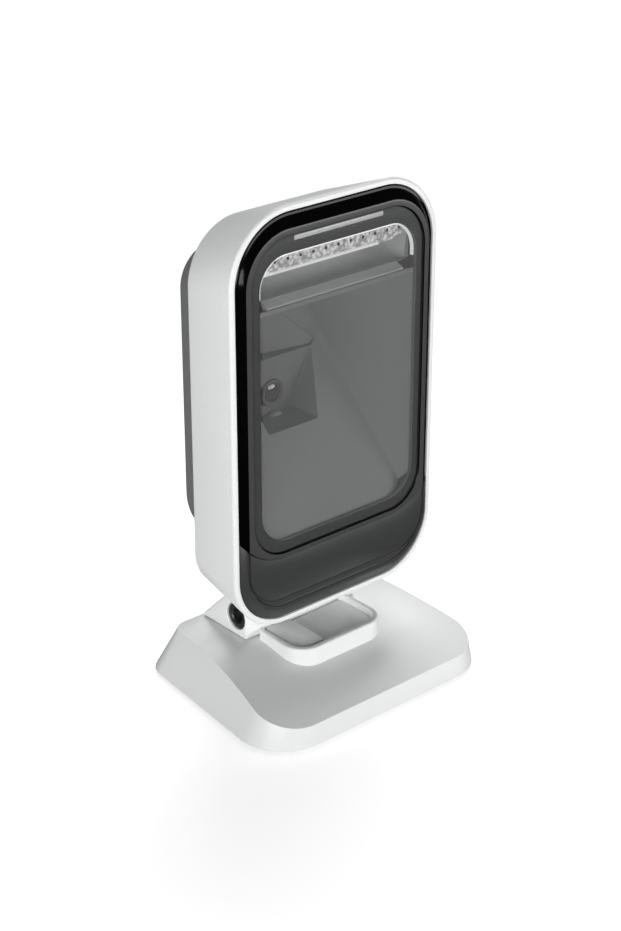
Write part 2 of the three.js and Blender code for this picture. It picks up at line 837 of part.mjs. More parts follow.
const sole = new THREE.Group();
sole.position.set(0, flangeMiddle, flangeHeight);
sole.rotation.x = floorSlope;
face.add(sole);
const flangeScrewLength = flangeThickness + gap + flangeBoreDepth;
[-flangeScrewSide, flangeScrewSide].forEach((x, index) => {
  const turned = screw(flangeScrewLength).rotateX(Math.PI);
  place(sole, `foot_screw_${index + 1}`, turned, "steel", x, 0, flangeThickness / 2 + gap);
});

// Housing of the head

function housingOutline(depth, inset = 0, floor = inset) {
  const share = depth / housingDepth;
  const between = (front, rear) => THREE.MathUtils.lerp(front, rear, share);
  const form = {
    width: between(housingWidth, housingRearWidth),
    bottom: between(housingBottom, housingRearBottom) + floor - inset,
    top: between(housingTop, housingRearTop),
    bottomCorner: between(bezelBottomCorner + rimWidth, housingRearBottomCorner),
    topCorner: between(bezelTopCorner + rimWidth, housingRearTopCorner),
  };
  return frameOutline(form, inset);
}

const bezelForm = {
  width: bezelWidth,
  bottom: 0,
  top: bezelHeight,
  bottomCorner: bezelBottomCorner,
  topCorner: bezelTopCorner,
};

const openingForm = {
  width: housingRearWidth - 2 * openingMargin,
  bottom: housingRearBottom + openingMargin,
  top: housingRearTop - openingMargin,
  bottomCorner: openingCorner,
  topCorner: openingCorner,
};

const coverScrewSpots = [
  [-coverScrewSide, coverBottom + coverScrewRise],
  [coverScrewSide, coverBottom + coverScrewRise],
  [-coverScrewSide, coverTop - coverScrewRise],
  [coverScrewSide, coverTop - coverScrewRise],
];

// A cylinder along the depth of the head
function peg(radius, x, height, front, back, sides = smallSides) {
  return rodY(radius, back - front, sides).translate(x, (front + back) / 2, height);
}

function housing() {
  const rounding = rimRound * rimRoundShare;
  const rearRounding = housingRearRound * rimRoundShare;
  const outside = [
    { outline: housingOutline(0, rimRound), at: -rimLead },
    { outline: housingOutline(0, rounding), at: rounding - rimLead },
    { outline: housingOutline(0), at: rimRound - rimLead },
    { outline: housingOutline(housingDepth), at: housingDepth - housingRearRound },
    { outline: housingOutline(housingDepth, rearRounding), at: housingDepth - rearRounding },
    { outline: housingOutline(housingDepth, housingRearRound), at: housingDepth },
  ];
  const innerBack = housingDepth - housingWall;
  const inside = [
    { outline: housingOutline(bezelThickness, housingWall, housingFloor), at: bezelThickness },
    { outline: housingOutline(innerBack, housingWall, housingFloor), at: innerBack },
  ];
  const pocket = slab(frameOutline(bezelForm, -gap), -rimLead - overrun, bezelThickness + gap);
  const opening = slab(frameOutline(openingForm), innerBack - overrun, housingDepth + overrun);
  let shell = cut(solid(loft(outside, true)), loft(inside, true), pocket, opening);
  const bossFront = housingDepth - housingBossLength;
  for (const [x, height] of coverScrewSpots) {
    shell = shell.add(solid(peg(housingBossRadius, x, height, bossFront, housingDepth)));
  }
  const bores = coverScrewSpots.map(([x, height]) => {
    return peg(screwRadius + gap, x, height, bossFront + housingWall / 2, housingDepth + overrun);
  });
  const neckHeight = flangeHeight + flangeThickness - housingBottom;
  const neckRoom = block(neckWidth + 2 * neckRelief, neckDepth + 2 * neckRelief, neckHeight);
  neckRoom.translate(0, hingeY - faceY + neckRear - neckDepth / 2, housingBottom + neckHeight / 2);
  const floorBores = [-flangeScrewSide, flangeScrewSide].map(flangeBore);
  return cut(shell, ...bores, neckRoom, ...floorBores);
}

place(face, "head_housing", housing(), "shellSilver");

// Bezel, lower panel and window

function raised(plateau, lead) {
  const edge = frameOutline(bezelForm);
  const sections = [
    { outline: frameOutline(plateau), at: -lead },
    { outline: edge, at: -edgeLead },
    { outline: edge, at: bezelThickness },
  ];
  return solid(loft(sections, true));
}

const shoulderForm = {
  width: panelShoulderWidth,
  bottom: panelTop,
  top: bezelHeight + overrun,
  bottomCorner: panelShoulder,
  topCorner: overrun,
};

const glassForm = {
  width: glassWidth,
  bottom: glassBottom,
  top: glassTop,
  bottomCorner: glassBottomCorner,
  topCorner: glassTopCorner,
};

const clearForm = {
  width: clearWidth,
  bottom: clearBottom,
  top: clearTop,
  bottomCorner: clearCorner,
  topCorner: clearCorner,
};

const farFront = -plateauLead - overrun;
const farBack = bezelThickness + overrun;
const barOutline = rectangle(barWidth, barMiddle - barHeight / 2, barMiddle + barHeight / 2);
const barRoom = rectangle(
  barWidth + 2 * gap,
  barMiddle - barHeight / 2 - gap,
  barMiddle + barHeight / 2 + gap,
);

function bezel() {
  const plateau = {
    width: bezelWidth - 2 * chamferSide,
    bottom: chamferSide,
    top: bezelHeight - chamferTop,
    bottomCorner: bezelBottomCorner - chamferSide,
    topCorner: plateauTopCorner,
  };
  const above = solid(slab(frameOutline(shoulderForm), farFront, farBack));
  const frame = raised(plateau, plateauLead).intersect(above);
  const glassRoom = slab(frameOutline(glassForm, -gap), farFront, ledgeFront);
  const ledgeRoom = slab(frameOutline(clearForm, -ledgeReveal), farFront, farBack);
  return cut(frame, glassRoom, ledgeRoom, slab(barRoom, farFront, farBack));
}

place(face, "front_bezel", bezel(), "glossBlack");

function lowerPanel() {
  const plateau = {
    width: bezelWidth - 2 * panelChamferSide,
    bottom: panelChamferBottom,
    top: bezelHeight - chamferTop,
    bottomCorner: panelCorner,
    topCorner: plateauTopCorner,
  };
  const groove = {
    width: grooveSpan,
    bottom: grooveBottom,
    top: bezelHeight - chamferTop,
    bottomCorner: grooveCorner,
    topCorner: grooveCorner,
  };
  const above = slab(frameOutline(shoulderForm, -gap), farFront, farBack);
  const line = slab(frameOutline(groove), farFront, grooveDepth - panelLead, [
    frameOutline(groove, grooveWidth),
  ]);
  return cut(raised(plateau, panelLead), above, line);
}

place(face, "lower_panel", lowerPanel(), "panelGrey");
place(face, "window_glass", slab(frameOutline(glassForm), glassFront, glassBack), "glass");

const maskOpenings = [frameOutline(clearForm), barRoom];
const mask = slab(frameOutline(glassForm), glassBack + film, maskBack, maskOpenings);
place(face, "window_mask", mask, "maskGrey");

const gasketOpenings = [frameOutline(clearForm, -ledgeReveal), barRoom];
const gasket = slab(frameOutline(glassForm), gasketFront, gasketFront + gasketThickness, gasketOpenings);
place(face, "window_gasket", gasket, "rubber");

const barFront = glassBack + gap;
place(face, "status_light_bar", slab(barOutline, barFront, barFront + barDepth), "lightGuide");

// Lamps and their lens

function lampBoard() {
  const board = slab(
    rectangle(lampBoardWidth, lampBoardBottom, lampBoardTop),
    baffleFront,
    baffleFront + boardThickness,
  );
  const row = [];
  for (let i = 0; i < lampCount; i++) {
    const middle = (i - (lampCount - 1) / 2) * lampPitch;
    const bottom = lampBoardBottom + lampRise - lampHeight / 2;
    const outline = rectangle(lampWidth, bottom, bottom + lampHeight, middle);
    row.push(slab(outline, baffleFront - lampLead, baffleFront + boardThickness / 2));
  }
  return joined(board, ...row);
}

place(face, "illumination_board", lampBoard(), "boardWhite");

function lensBar() {
  const front = baffleFront + lensBarWall;
  const curve = new THREE.QuadraticBezierCurve(
    new THREE.Vector2(front, lensBarBottom),
    new THREE.Vector2(front + lensBarDepth * lensBarTurnShare, lensBarBottom - lensBarDip),
    new THREE.Vector2(front + lensBarDepth, lensBarBottom + lensBarRise),
  );
  const outer = curve.getPoints(curveSteps);
  const shift = new THREE.Vector2(-lensBarWall, lensBarWall);
  const inner = outer.map((point) => point.clone().add(shift)).reverse();
  return profileBar([...outer, ...inner], lensBarWidth);
}

place(face, "illumination_lens", lensBar(), "lightGuide");

// Baffle with the camera pocket

// The funnel between two depths, spread by a wall.
function funnel(front, back, wall = 0) {
  const points = [];
  for (const depth of [front, back]) {
    const share = depth / baffleDepth;
    const half = THREE.MathUtils.lerp(baffleMouthWidth, baffleBackWidth, share) / 2 + wall;
    const low = THREE.MathUtils.lerp(baffleMouthBottom, baffleBackBottom, share) - wall;
    const high = THREE.MathUtils.lerp(baffleMouthTop, baffleBackTop, share) + wall;
    for (const [x, height] of [[-half, low], [half, low], [half, high], [-half, high]]) {
      points.push(new THREE.Vector3(x, depth, height));
    }
  }
  return solid(new ConvexGeometry(points));
}

function pocketOutline(wall = 0) {
  const low = pocketBottomWidth / 2 + wall;
  const high = pocketTopWidth / 2 + wall;
  return [
    new THREE.Vector2(pocketSide - low, pocketBottom - wall),
    new THREE.Vector2(pocketSide + low, pocketBottom - wall),
    new THREE.Vector2(pocketSide + high, pocketTop + wall),
    new THREE.Vector2(pocketSide - high, pocketTop + wall),
  ];
}

const flangeForm = {
  width: flangeSpan,
  bottom: flangeBottom,
  top: flangeTop,
  bottomCorner: flangeCorner,
  topCorner: flangeCorner,
};

function baffle() {
  const snoutLimit = slab(frameOutline(clearForm, gap - ledgeReveal), baffleSnout, baffleFront + overrun);
  const snout = funnel(baffleSnout, baffleFront + overrun, baffleWall).intersect(solid(snoutLimit));
  const rear = funnel(baffleFront, baffleDepth + baffleWall, baffleWall);
  const flange = slab(frameOutline(flangeForm), baffleFront, baffleFront + baffleFlange);
  const pocketFront = pocketDepth / 2;
  const pocketBox = slab(pocketOutline(baffleWall), pocketFront, pocketBack);
  const body = snout.add(rear).add(solid(flange)).add(solid(pocketBox));
  const pocketRoom = slab(pocketOutline(), baffleFront, pocketDepth);
  const boreEnd = pocketBack + overrun;
  const bore = peg(barrelRadius + gap, pocketSide, cameraHeight, pocketFront, boreEnd, roundSides);
  return cut(body.subtract(funnel(0, baffleDepth)), pocketRoom, bore);
}

place(face, "optical_baffle", baffle(), "baffleGrey");

// Camera

function barrel() {
  const front = pocketDepth - barrelLead;
  const flange = barrelBack - barrelFlangeLength;
  const body = joined(
    peg(barrelRadius, pocketSide, cameraHeight, front, barrelBack, roundSides),
    peg(barrelFlangeRadius, pocketSide, cameraHeight, flange, barrelBack, roundSides),
  );
  return cut(
    body,
    peg(barrelBore, pocketSide, cameraHeight, front - overrun, barrelBack + overrun, roundSides),
  );
}

place(face, "lens_barrel", barrel(), "black");

const lensFront = pocketDepth - barrelLead + lensSink;
const lensBack = lensFront + lensThickness;
const lensDisc = peg(barrelBore - gap, pocketSide, cameraHeight, lensFront, lensBack, roundSides);
place(face, "lens_glass", lensDisc, "glass");

function plate(width, height, x, middle, front, back, openings = []) {
  return slab(rectangle(width, middle - height / 2, middle + height / 2, x), front, back, openings);
}

const bracketOpening = rectangle(
  bracketWindow,
  cameraHeight - bracketWindow / 2,
  cameraHeight + bracketWindow / 2,
  pocketSide,
);
const bracketBack = bracketFront + bracketThickness;
place(
  face,
  "camera_bracket",
  plate(bracketWidth, bracketHeight, pocketSide, cameraHeight, bracketFront, bracketBack, [bracketOpening]),
  "steel",
);
place(
  face,
  "image_sensor",
  plate(sensorWidth, sensorHeight, pocketSide, cameraHeight, bracketBack - sensorThickness, bracketBack),
  "chip",
);
place(
  face,
  "camera_board",
  plate(
    cameraBoardWidth,
    cameraBoardHeight,
    pocketSide,
    cameraHeight,
    cameraBoardFront,
    cameraBoardFront + boardThickness,
  ),
  "boardGreen",
);

// Main board and what it carries

place(
  face,
  "main_board",
  slab(rectangle(mainBoardWidth, mainBoardBottom, mainBoardTop), mainBoardSetback, boardBack),
  "boardGreen",
);
place(
  face,
  "processor_shield",
  plate(
    shieldWidth,
    shieldHeight,
    shieldSide,
    shieldMiddle,
    mainBoardSetback - gap - shieldThickness,
    mainBoardSetback - gap,
  ),
  "steel",
);

const beeperBack = boardBack + gap + beeperHeight;
const beeper = cut(
  solid(peg(beeperRadius, beeperSide, beeperMiddle, boardBack + gap, beeperBack, roundSides)),
  peg(beeperPort, beeperSide, beeperMiddle, beeperBack - beeperPortDepth, beeperBack + overrun),
);
place(face, "beeper", beeper, "black");

const socketBottom = coverBottom + coverWall + coverTaper + gap;
const socketFront = boardBack + gap;
const socketHoleDepth = socketDepth - 2 * socketWall;
const socketMiddle = socketFront + socketDepth / 2;

function cableSocket() {
  const body = plate(
    socketWidth,
    socketHeight,
    0,
    socketBottom + socketHeight / 2,
    socketFront,
    socketFront + socketDepth,
  );
  const hole = block(socketWidth - 2 * socketWall, socketHoleDepth, socketHeight);
  return cut(solid(body), hole.translate(0, socketMiddle, socketBottom + socketHeight / 2 - socketWall));
}

place(face, "cable_socket", cableSocket(), "socket");

// Rear cover and its screws

const coverForm = {
  width: coverWidth,
  bottom: coverBottom,
  top: coverTop,
  bottomCorner: coverBottomCorner,
  topCorner: coverTopCorner,
};

function rearCover() {
  const edge = coverBack - coverRound;
  const outside = [
    { outline: frameOutline(coverForm), at: coverFront },
    { outline: frameOutline(coverForm, coverTaper), at: edge },
  ];
  const steps = cornerSteps / 2;
  for (let step = 1; step <= steps; step++) {
    const angle = (quarterTurn * step) / steps;
    const inset = coverTaper + coverRound * (1 - Math.cos(angle));
    outside.push({ outline: frameOutline(coverForm, inset), at: edge + coverRound * Math.sin(angle) });
  }
  const inside = [
    { outline: frameOutline(coverForm, coverWall), at: coverFront - overrun },
    { outline: frameOutline(coverForm, coverWall + coverTaper), at: edge },
    { outline: frameOutline(coverForm, coverWall + coverTaper + coverRound / 2), at: coverInner },
  ];
  let cover = cut(solid(loft(outside, true)), loft(inside, true));
  const limit = solid(loft(outside, true));
  for (const [x, height] of coverScrewSpots) {
    const boss = solid(peg(coverBossRadius, x, height, coverFront, coverBack));
    cover = cover.add(boss.intersect(limit));
  }
  const standoffs = standoffSpots.map(([x, height]) => {
    return peg(standoffRadius, x, height, boardBack + gap, coverInner + coverWall / 2);
  });
  const seat = coverFront + coverScrewSeat;
  const shanks = coverScrewSpots.map(([x, height]) => {
    return peg(screwRadius + gap, x, height, coverFront - overrun, seat + overrun);
  });
  const heads = coverScrewSpots.map(([x, height]) => {
    return peg(screwHeadRadius + gap, x, height, seat, coverBack + overrun);
  });
  const cableHole = block(socketWidth - 2 * socketWall, socketHoleDepth, 2 * coverWall + 2 * overrun);
  cableHole.translate(0, socketMiddle, coverBottom + coverWall / 2);
  const slots = [];
  for (let i = 0; i < slotCount; i++) {
    const x = beeperSide + (i - (slotCount - 1) / 2) * slotPitch;
    slots.push(plate(slotWidth, slotLength, x, beeperMiddle, coverInner - overrun, coverBack + overrun));
  }
  for (const standoff of standoffs) cover = cover.add(solid(standoff));
  return cut(cover, ...shanks, ...heads, cableHole, ...slots);
}

const standoffSide = mainBoardWidth / 2 - standoffInset;
const standoffSpots = [
  [-standoffSide, mainBoardBottom + standoffInset],
  [standoffSide, mainBoardBottom + standoffInset],
  [-standoffSide, mainBoardTop - standoffInset],
  [standoffSide, mainBoardTop - standoffInset],
];

place(face, "rear_cover", rearCover(), "coverGrey");
coverScrewSpots.forEach(([x, height], index) => {
  const turned = screw(coverScrewLength).rotateX(quarterTurn);
  const seat = coverFront + coverScrewSeat + gap;
  place(face, `cover_screw_${index + 1}`, turned, "steel", x, seat, height);
});

export default scanner;
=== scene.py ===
"""Looks of a desktop barcode scanner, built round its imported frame.

Lengths are in metres, but in millimetres where a comment or a docstring says so.
"""

import math

import bmesh
import bpy
from bpy.props import FloatProperty, FloatVectorProperty, IntProperty, PointerProperty
from mathutils import Matrix, Vector


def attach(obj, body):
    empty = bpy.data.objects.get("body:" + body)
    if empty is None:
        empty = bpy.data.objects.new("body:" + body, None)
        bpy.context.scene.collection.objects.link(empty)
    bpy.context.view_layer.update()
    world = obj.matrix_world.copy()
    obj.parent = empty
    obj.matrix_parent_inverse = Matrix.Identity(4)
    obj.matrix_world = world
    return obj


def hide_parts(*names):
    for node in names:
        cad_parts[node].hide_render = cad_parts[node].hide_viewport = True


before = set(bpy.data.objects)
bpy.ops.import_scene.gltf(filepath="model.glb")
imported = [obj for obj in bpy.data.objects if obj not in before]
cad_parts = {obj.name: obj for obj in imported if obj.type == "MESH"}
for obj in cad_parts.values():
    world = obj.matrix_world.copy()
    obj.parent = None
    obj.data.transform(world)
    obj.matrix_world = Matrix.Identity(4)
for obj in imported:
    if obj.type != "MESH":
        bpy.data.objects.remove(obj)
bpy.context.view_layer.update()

bl_info = {
    "name": "Desktop Barcode Scanner",
    "version": (1, 0, 0),
    "blender": (4, 5, 0),
    "location": "3D View > Sidebar > Scanner",
    "description": "Builds the looks of a desktop barcode scanner round its frame",
    "category": "Object",
}

MM = 0.001
QUARTER = math.pi / 2
SMOOTH_ANGLE = math.radians(32)
CORNER_STEPS = 20
ROUND_SIDES = 64
SMALL_SIDES = 32


# Settings


class FootSettings(bpy.types.PropertyGroup):
    """Sizes of the foot, its ramp and its collar"""

    width: FloatProperty(
        name="Width", description="Width of the foot in front", default=95.95 * MM, unit="LENGTH"
    )
    rear_width: FloatProperty(
        name="Rear Width", description="Width of the foot behind", default=81.2 * MM, unit="LENGTH"
    )
    depth: FloatProperty(
        name="Depth", description="Depth of the foot", default=74.1 * MM, unit="LENGTH"
    )
    front_height: FloatProperty(
        name="Front Height", description="Height where the ramp starts", default=8 * MM, unit="LENGTH"
    )
    seat_height: FloatProperty(
        name="Seat Height", description="Height of the level rear part", default=16.6 * MM, unit="LENGTH"
    )
    seat_depth: FloatProperty(
        name="Seat Depth", description="Depth of the level rear part", default=24.2 * MM, unit="LENGTH"
    )
    lift: FloatProperty(
        name="Lift", description="Lower edge of the cover above the table", default=0.9 * MM, unit="LENGTH"
    )
    wall: FloatProperty(
        name="Wall", description="Wall thickness of the cover", default=2.2 * MM, unit="LENGTH"
    )
    crease_round: FloatProperty(
        name="Crease Rounding", description="Rounding between the ramp and the walls", default=0.7 * MM,
        unit="LENGTH",
    )
    collar_width: FloatProperty(
        name="Collar Width", description="Width over the collar's rim", default=37.9 * MM, unit="LENGTH"
    )
    collar_reach: FloatProperty(
        name="Collar Reach", description="Depth of the collar", default=21 * MM, unit="LENGTH"
    )
    collar_wall: FloatProperty(
        name="Collar Wall", description="Width of the collar's rim", default=2 * MM, unit="LENGTH"
    )


class HeadSettings(bpy.types.PropertyGroup):
    """Sizes of the housing and the rear cover"""

    bezel_width: FloatProperty(
        name="Bezel Width", description="Width of the black frame", default=77.5 * MM, unit="LENGTH"
    )
    bezel_height: FloatProperty(
        name="Bezel Height", description="Height of the black frame", default=130.8 * MM, unit="LENGTH"
    )
    rim_width: FloatProperty(
        name="Rim Width", description="White rim round the black frame", default=2.2 * MM, unit="LENGTH"
    )
    depth: FloatProperty(
        name="Depth", description="Depth of the housing", default=25.85 * MM, unit="LENGTH"
    )
    rear_width: FloatProperty(
        name="Rear Width", description="Width of the housing behind", default=72.3 * MM, unit="LENGTH"
    )
    cover_width: FloatProperty(
        name="Cover Width", description="Width of the rear cover", default=65.8 * MM, unit="LENGTH"
    )
    cover_depth: FloatProperty(
        name="Cover Depth", description="Depth of the rear cover", default=10.2 * MM, unit="LENGTH"
    )


class WindowSettings(bpy.types.PropertyGroup):
    """Sizes of the window and of what shows behind it"""

    glass_width: FloatProperty(
        name="Glass Width", description="Width of the window plate", default=67.6 * MM, unit="LENGTH"
    )
    clear_width: FloatProperty(
        name="Clear Width", description="Width of the clear part", default=61.4 * MM, unit="LENGTH"
    )
    bar_width: FloatProperty(
        name="Light Bar Width", description="Width of the status light", default=35 * MM, unit="LENGTH"
    )
    bar_height: FloatProperty(
        name="Light Bar Height", description="Height of the status light", default=1.5 * MM, unit="LENGTH"
    )
    lamp_count: IntProperty(
        name="Lamps", description="Lamps in the row behind the window", default=12, min=1, max=20
    )
    lamp_pitch: FloatProperty(
        name="Lamp Pitch", description="Distance from lamp to lamp", default=4.92 * MM, unit="LENGTH"
    )


class HingeSettings(bpy.types.PropertyGroup):
    """Sizes of the hinge"""

    yoke_width: FloatProperty(
        name="Yoke Width", description="Width of the yoke", default=47 * MM, unit="LENGTH"
    )
    slot_width: FloatProperty(
        name="Slot Width", description="Gap between the cheeks", default=25.2 * MM, unit="LENGTH"
    )
    knuckle_radius: FloatProperty(
        name="Knuckle Radius", description="Radius of the knuckle", default=4.7 * MM, unit="LENGTH"
    )
    cap_radius: FloatProperty(
        name="Cap Radius", description="Radius of the bush in each end", default=4.25 * MM, unit="LENGTH"
    )
    edge_round: FloatProperty(
        name="Edge Rounding", description="Rounding of the yoke's edges", default=0.5 * MM, unit="LENGTH"
    )


class FinishSettings(bpy.types.PropertyGroup):
    """Colours of the moulded parts"""

    foot_white: FloatVectorProperty(
        name="Foot", description="Colour of the foot and the yoke", subtype="COLOR", size=4,
        default=(0.84, 0.85, 0.85, 1),
    )
    shell_silver: FloatVectorProperty(
        name="Housing", description="Colour of the housing", subtype="COLOR", size=4,
        default=(0.84, 0.85, 0.85, 1),
    )
    bezel_black: FloatVectorProperty(
        name="Bezel", description="Colour of the black frame", subtype="COLOR", size=4,
        default=(0.0012, 0.0012, 0.0013, 1),
    )
    panel_grey: FloatVectorProperty(
        name="Panel", description="Colour of the lower panel", subtype="COLOR", size=4,
        default=(0.04, 0.041, 0.041, 1),
    )
    cover_grey: FloatVectorProperty(
        name="Rear Cover", description="Colour of the rear cover", subtype="COLOR", size=4,
        default=(0.17, 0.174, 0.174, 1),
    )
    # Strength of the painted glow on the white lamp strip and its edges
    painted_glow_strength: FloatProperty(
        name="Lamp Glow", description="Brightness of the lit lamp strip", default=0.35, min=0
    )


class StageSettings(bpy.types.PropertyGroup):
    """Camera and light"""

    camera_place: FloatVectorProperty(
        name="Camera", description="Where the camera stands", subtype="XYZ", unit="LENGTH",
        default=(-0.36644, -0.41870, 0.33589),
    )
    camera_aim: FloatVectorProperty(
        name="Aim", description="What the camera looks at", subtype="XYZ", unit="LENGTH",
        default=(0, 0.000756, 0.073128),
    )
    lens: FloatProperty(
        name="Lens", description="Focal length in millimetres", default=75.82, min=1
    )
    key_power: FloatProperty(
        name="Key", description="Power of the high lamp behind in watts", default=5.5, min=0
    )
    left_power: FloatProperty(
        name="Left", description="Power of the left front lamp in watts", default=8, min=0
    )
    right_power: FloatProperty(
        name="Right", description="Power of the right front lamp in watts", default=6, min=0
    )
    sky: FloatProperty(name="Sky", description="Strength of the even light", default=0.05, min=0)


def settings(name):
    """The settings of one group, from the scene."""
    return getattr(bpy.context.scene, "scanner_" + name)


# Places that the pieces share

HINGE_Y = 10.45 * MM
HINGE_Z = 23.45 * MM
FACE_Y = -10.89 * MM
FACE_Z = 32.24 * MM
GAP = 0.3 * MM
AXLE_BORE = 2.58 * MM


def in_mm(points):
    """Points given in millimetres, in metres."""
    return [tuple(value * MM for value in point) for point in points]


def head_point(x, depth, height):
    """A point at a depth behind the face plane and a height above the face's lower end."""
    return Vector((x, FACE_Y + depth, FACE_Z + height))


def at_height(points, height):
    """The points of a plan, at a height."""
    return [Vector((point.x, point.y, height)) for point in points]


# Outlines


class Form:
    """A rounded rectangle, alike on both sides of the middle plane."""

    def __init__(self, width, bottom, top, low_corner, high_corner):
        self.width = width
        self.bottom = bottom
        self.top = top
        self.low_corner = low_corner
        self.high_corner = high_corner

    def inward(self, amount, floor=None):
        """The same outline, moved in all round; floor is the move of its lower side."""
        floor = amount if floor is None else floor
        return Form(
            self.width - 2 * amount,
            self.bottom + floor,
            self.top - amount,
            self.low_corner - amount,
            self.high_corner - amount,
        )

    def towards(self, other, share):
        """The outline at a share of the way to another."""
        names = ("width", "bottom", "top", "low_corner", "high_corner")
        return Form(*[getattr(self, n) + (getattr(other, n) - getattr(self, n)) * share for n in names])

    def corners(self):
        """Its corners (x, height, radius), once round."""
        half = self.width / 2
        return [
            (-half, self.bottom, self.low_corner),
            (half, self.bottom, self.low_corner),
            (half, self.top, self.high_corner),
            (-half, self.top, self.high_corner),
        ]


def rounded_points(corners, steps=CORNER_STEPS):
    """Points of a flat outline: each corner (x, y, radius) is bevelled on a face."""
    bm = bmesh.new()
    verts = [bm.verts.new((x, y, 0)) for x, y, _ in corners]
    bm.faces.new(verts)
    places = [vert.co.copy() for vert in verts]
    for index, (_, _, radius) in enumerate(corners):
        back = places[index - 1] - places[index]
        ahead = places[(index + 1) % len(places)] - places[index]
        tangent = radius / math.tan(back.angle(ahead) / 2)
        if radius > 0:
            bmesh.ops.bevel(
                bm, geom=[verts[index]], offset=tangent, offset_type="OFFSET", segments=steps,
                profile=0.5, affect="VERTICES", material=-1, clamp_overlap=False,
            )
    face = next(iter(bm.faces))
    if face.normal.z < 0:
        face.normal_flip()
    points = [vert.co.copy() for vert in face.verts]
    bm.free()
    return points


def start_loop(bm, points):
    """Vertices of a closed loop of edges through the points."""
    verts = [bm.verts.new(point) for point in points]
    for index, vert in enumerate(verts):
        bm.edges.new((verts[index - 1], vert))
    return verts


def loop_edges(bm, verts):
    """The edges of a closed loop."""
    return [bm.edges.get((verts[index - 1], vert)) for index, vert in enumerate(verts)]


def extrude_loop(bm, verts, points):
    """Extrudes a loop and moves what it made onto the points, in the same order."""
    made = bmesh.ops.extrude_edge_only(bm, edges=loop_edges(bm, verts))
    fresh = {part for part in made["geom"] if isinstance(part, bmesh.types.BMVert)}
    moved = []
    for vert, point in zip(verts, points):
        twin = next(e.other_vert(vert) for e in vert.link_edges if e.other_vert(vert) in fresh)
        twin.co = point
        moved.append(twin)
    return moved


def fill(bm, verts):
    """One face over a loop."""
    bmesh.ops.contextual_create(bm, geom=loop_edges(bm, verts))


def merge_doubles(bm):
    """Makes one vertex of those that lie on each other."""
    bmesh.ops.remove_doubles(bm, verts=bm.verts, dist=MM / 1000)


def skin(loops, caps=True):
    """A mesh through loops of points; without caps it closes on its first loop."""
    bm = bmesh.new()
    first = last = start_loop(bm, loops[0])
    for points in loops[1:]:
        last = extrude_loop(bm, last, points)
    if caps:
        fill(bm, first)
        fill(bm, last)
    else:
        extrude_loop(bm, last, loops[0])
        merge_doubles(bm)
    return bm


def face_loops(sections, steps):
    """Loops of points for sections (outline, depth) behind the face plane."""
    return [
        [head_point(p.x, depth, p.y) for p in rounded_points(form.corners(), steps)]
        for form, depth in sections
    ]


def ring_body(sections, steps=CORNER_STEPS):
    """A mesh that passes through sections (outline, depth) and closes on its first one."""
    return skin(face_loops(sections, steps), caps=False)


def capped_body(sections, steps=CORNER_STEPS):
    """A mesh that passes through sections (outline, depth), closed at both ends."""
    return skin(face_loops(sections, steps))


def quarter_round(radius, steps=6):
    """Pairs (in, along) of a rounded edge, from the face to the side."""
    for step in range(steps + 1):
        angle = QUARTER * step / steps
        yield radius * (1 - math.sin(angle)), radius * (1 - math.cos(angle))


# Bodies of simple form


def box_body(low, high):
    """A box between two corners."""
    bm = bmesh.new()
    low, high = Vector(low), Vector(high)
    place = Matrix.Translation((low + high) / 2) @ Matrix.Diagonal((*(high - low), 1))
    bmesh.ops.create_cube(bm, size=1, matrix=place)
    return bm


def head_box(low, high):
    """A box between two corners (x, depth, height) of the head, in millimetres."""
    return box_body(*[head_point(*corner) for corner in in_mm((low, high))])


def turned_body(profile, axis, centre, steps=ROUND_SIDES):
    """A profile of (radius, along) pairs, spun round an axis through a centre."""
    bm = bmesh.new()
    verts = [bm.verts.new((radius, 0, along)) for radius, along in profile]
    edges = [bm.edges.new(pair) for pair in zip(verts, verts[1:])]
    bmesh.ops.spin(
        bm, geom=verts + edges, cent=(0, 0, 0), axis=(0, 0, 1), angle=2 * math.pi, steps=steps,
        use_merge=True, use_normal_flip=False, use_duplicate=False,
    )
    merge_doubles(bm)
    turn = Vector((0, 0, 1)).rotation_difference(Vector(axis)).to_matrix().to_4x4()
    bmesh.ops.transform(bm, matrix=Matrix.Translation(centre) @ turn, verts=bm.verts)
    return bm


def rod_body(radius, axis, start, length, steps=ROUND_SIDES):
    """A plain round bar from a start point along an axis."""
    profile = [(0, 0), (radius, 0), (radius, length), (0, length)]
    return turned_body(profile, axis, start, steps)


def prism_body(points, direction):
    """A flat outline, extruded in a direction."""
    bm = bmesh.new()
    face = bm.faces.new([bm.verts.new(point) for point in points])
    made = bmesh.ops.extrude_face_region(bm, geom=[face])
    moved = [part for part in made["geom"] if isinstance(part, bmesh.types.BMVert)]
    bmesh.ops.translate(bm, vec=Vector(direction), verts=moved)
    return bm


def face_prism(form, front, back, steps=CORNER_STEPS, x=0):
    """A front outline between two depths, moved sideways by x."""
    bm = capped_body([(form, front), (form, back)], steps)
    bmesh.ops.translate(bm, vec=(x, 0, 0), verts=bm.verts)
    return bm


# From a mesh under construction to a finished piece


def to_object(bm, name):
    """An object at the origin that holds the mesh."""
    merge_doubles(bm)
    bmesh.ops.recalc_face_normals(bm, faces=bm.faces)
    mesh = bpy.data.meshes.new(name)
    bm.to_mesh(mesh)
    bm.free()
    piece = bpy.data.objects.new(name, mesh)
    bpy.context.scene.collection.objects.link(piece)
    return piece


def apply_modifiers(piece):
    """Keeps what the modifiers show as the piece's own mesh."""
    shown = piece.evaluated_get(bpy.context.evaluated_depsgraph_get())
    mesh = bpy.data.meshes.new_from_object(shown)
    mesh.name = piece.name
    old = piece.data
    piece.modifiers.clear()
    piece.data = mesh
    bpy.data.meshes.remove(old)


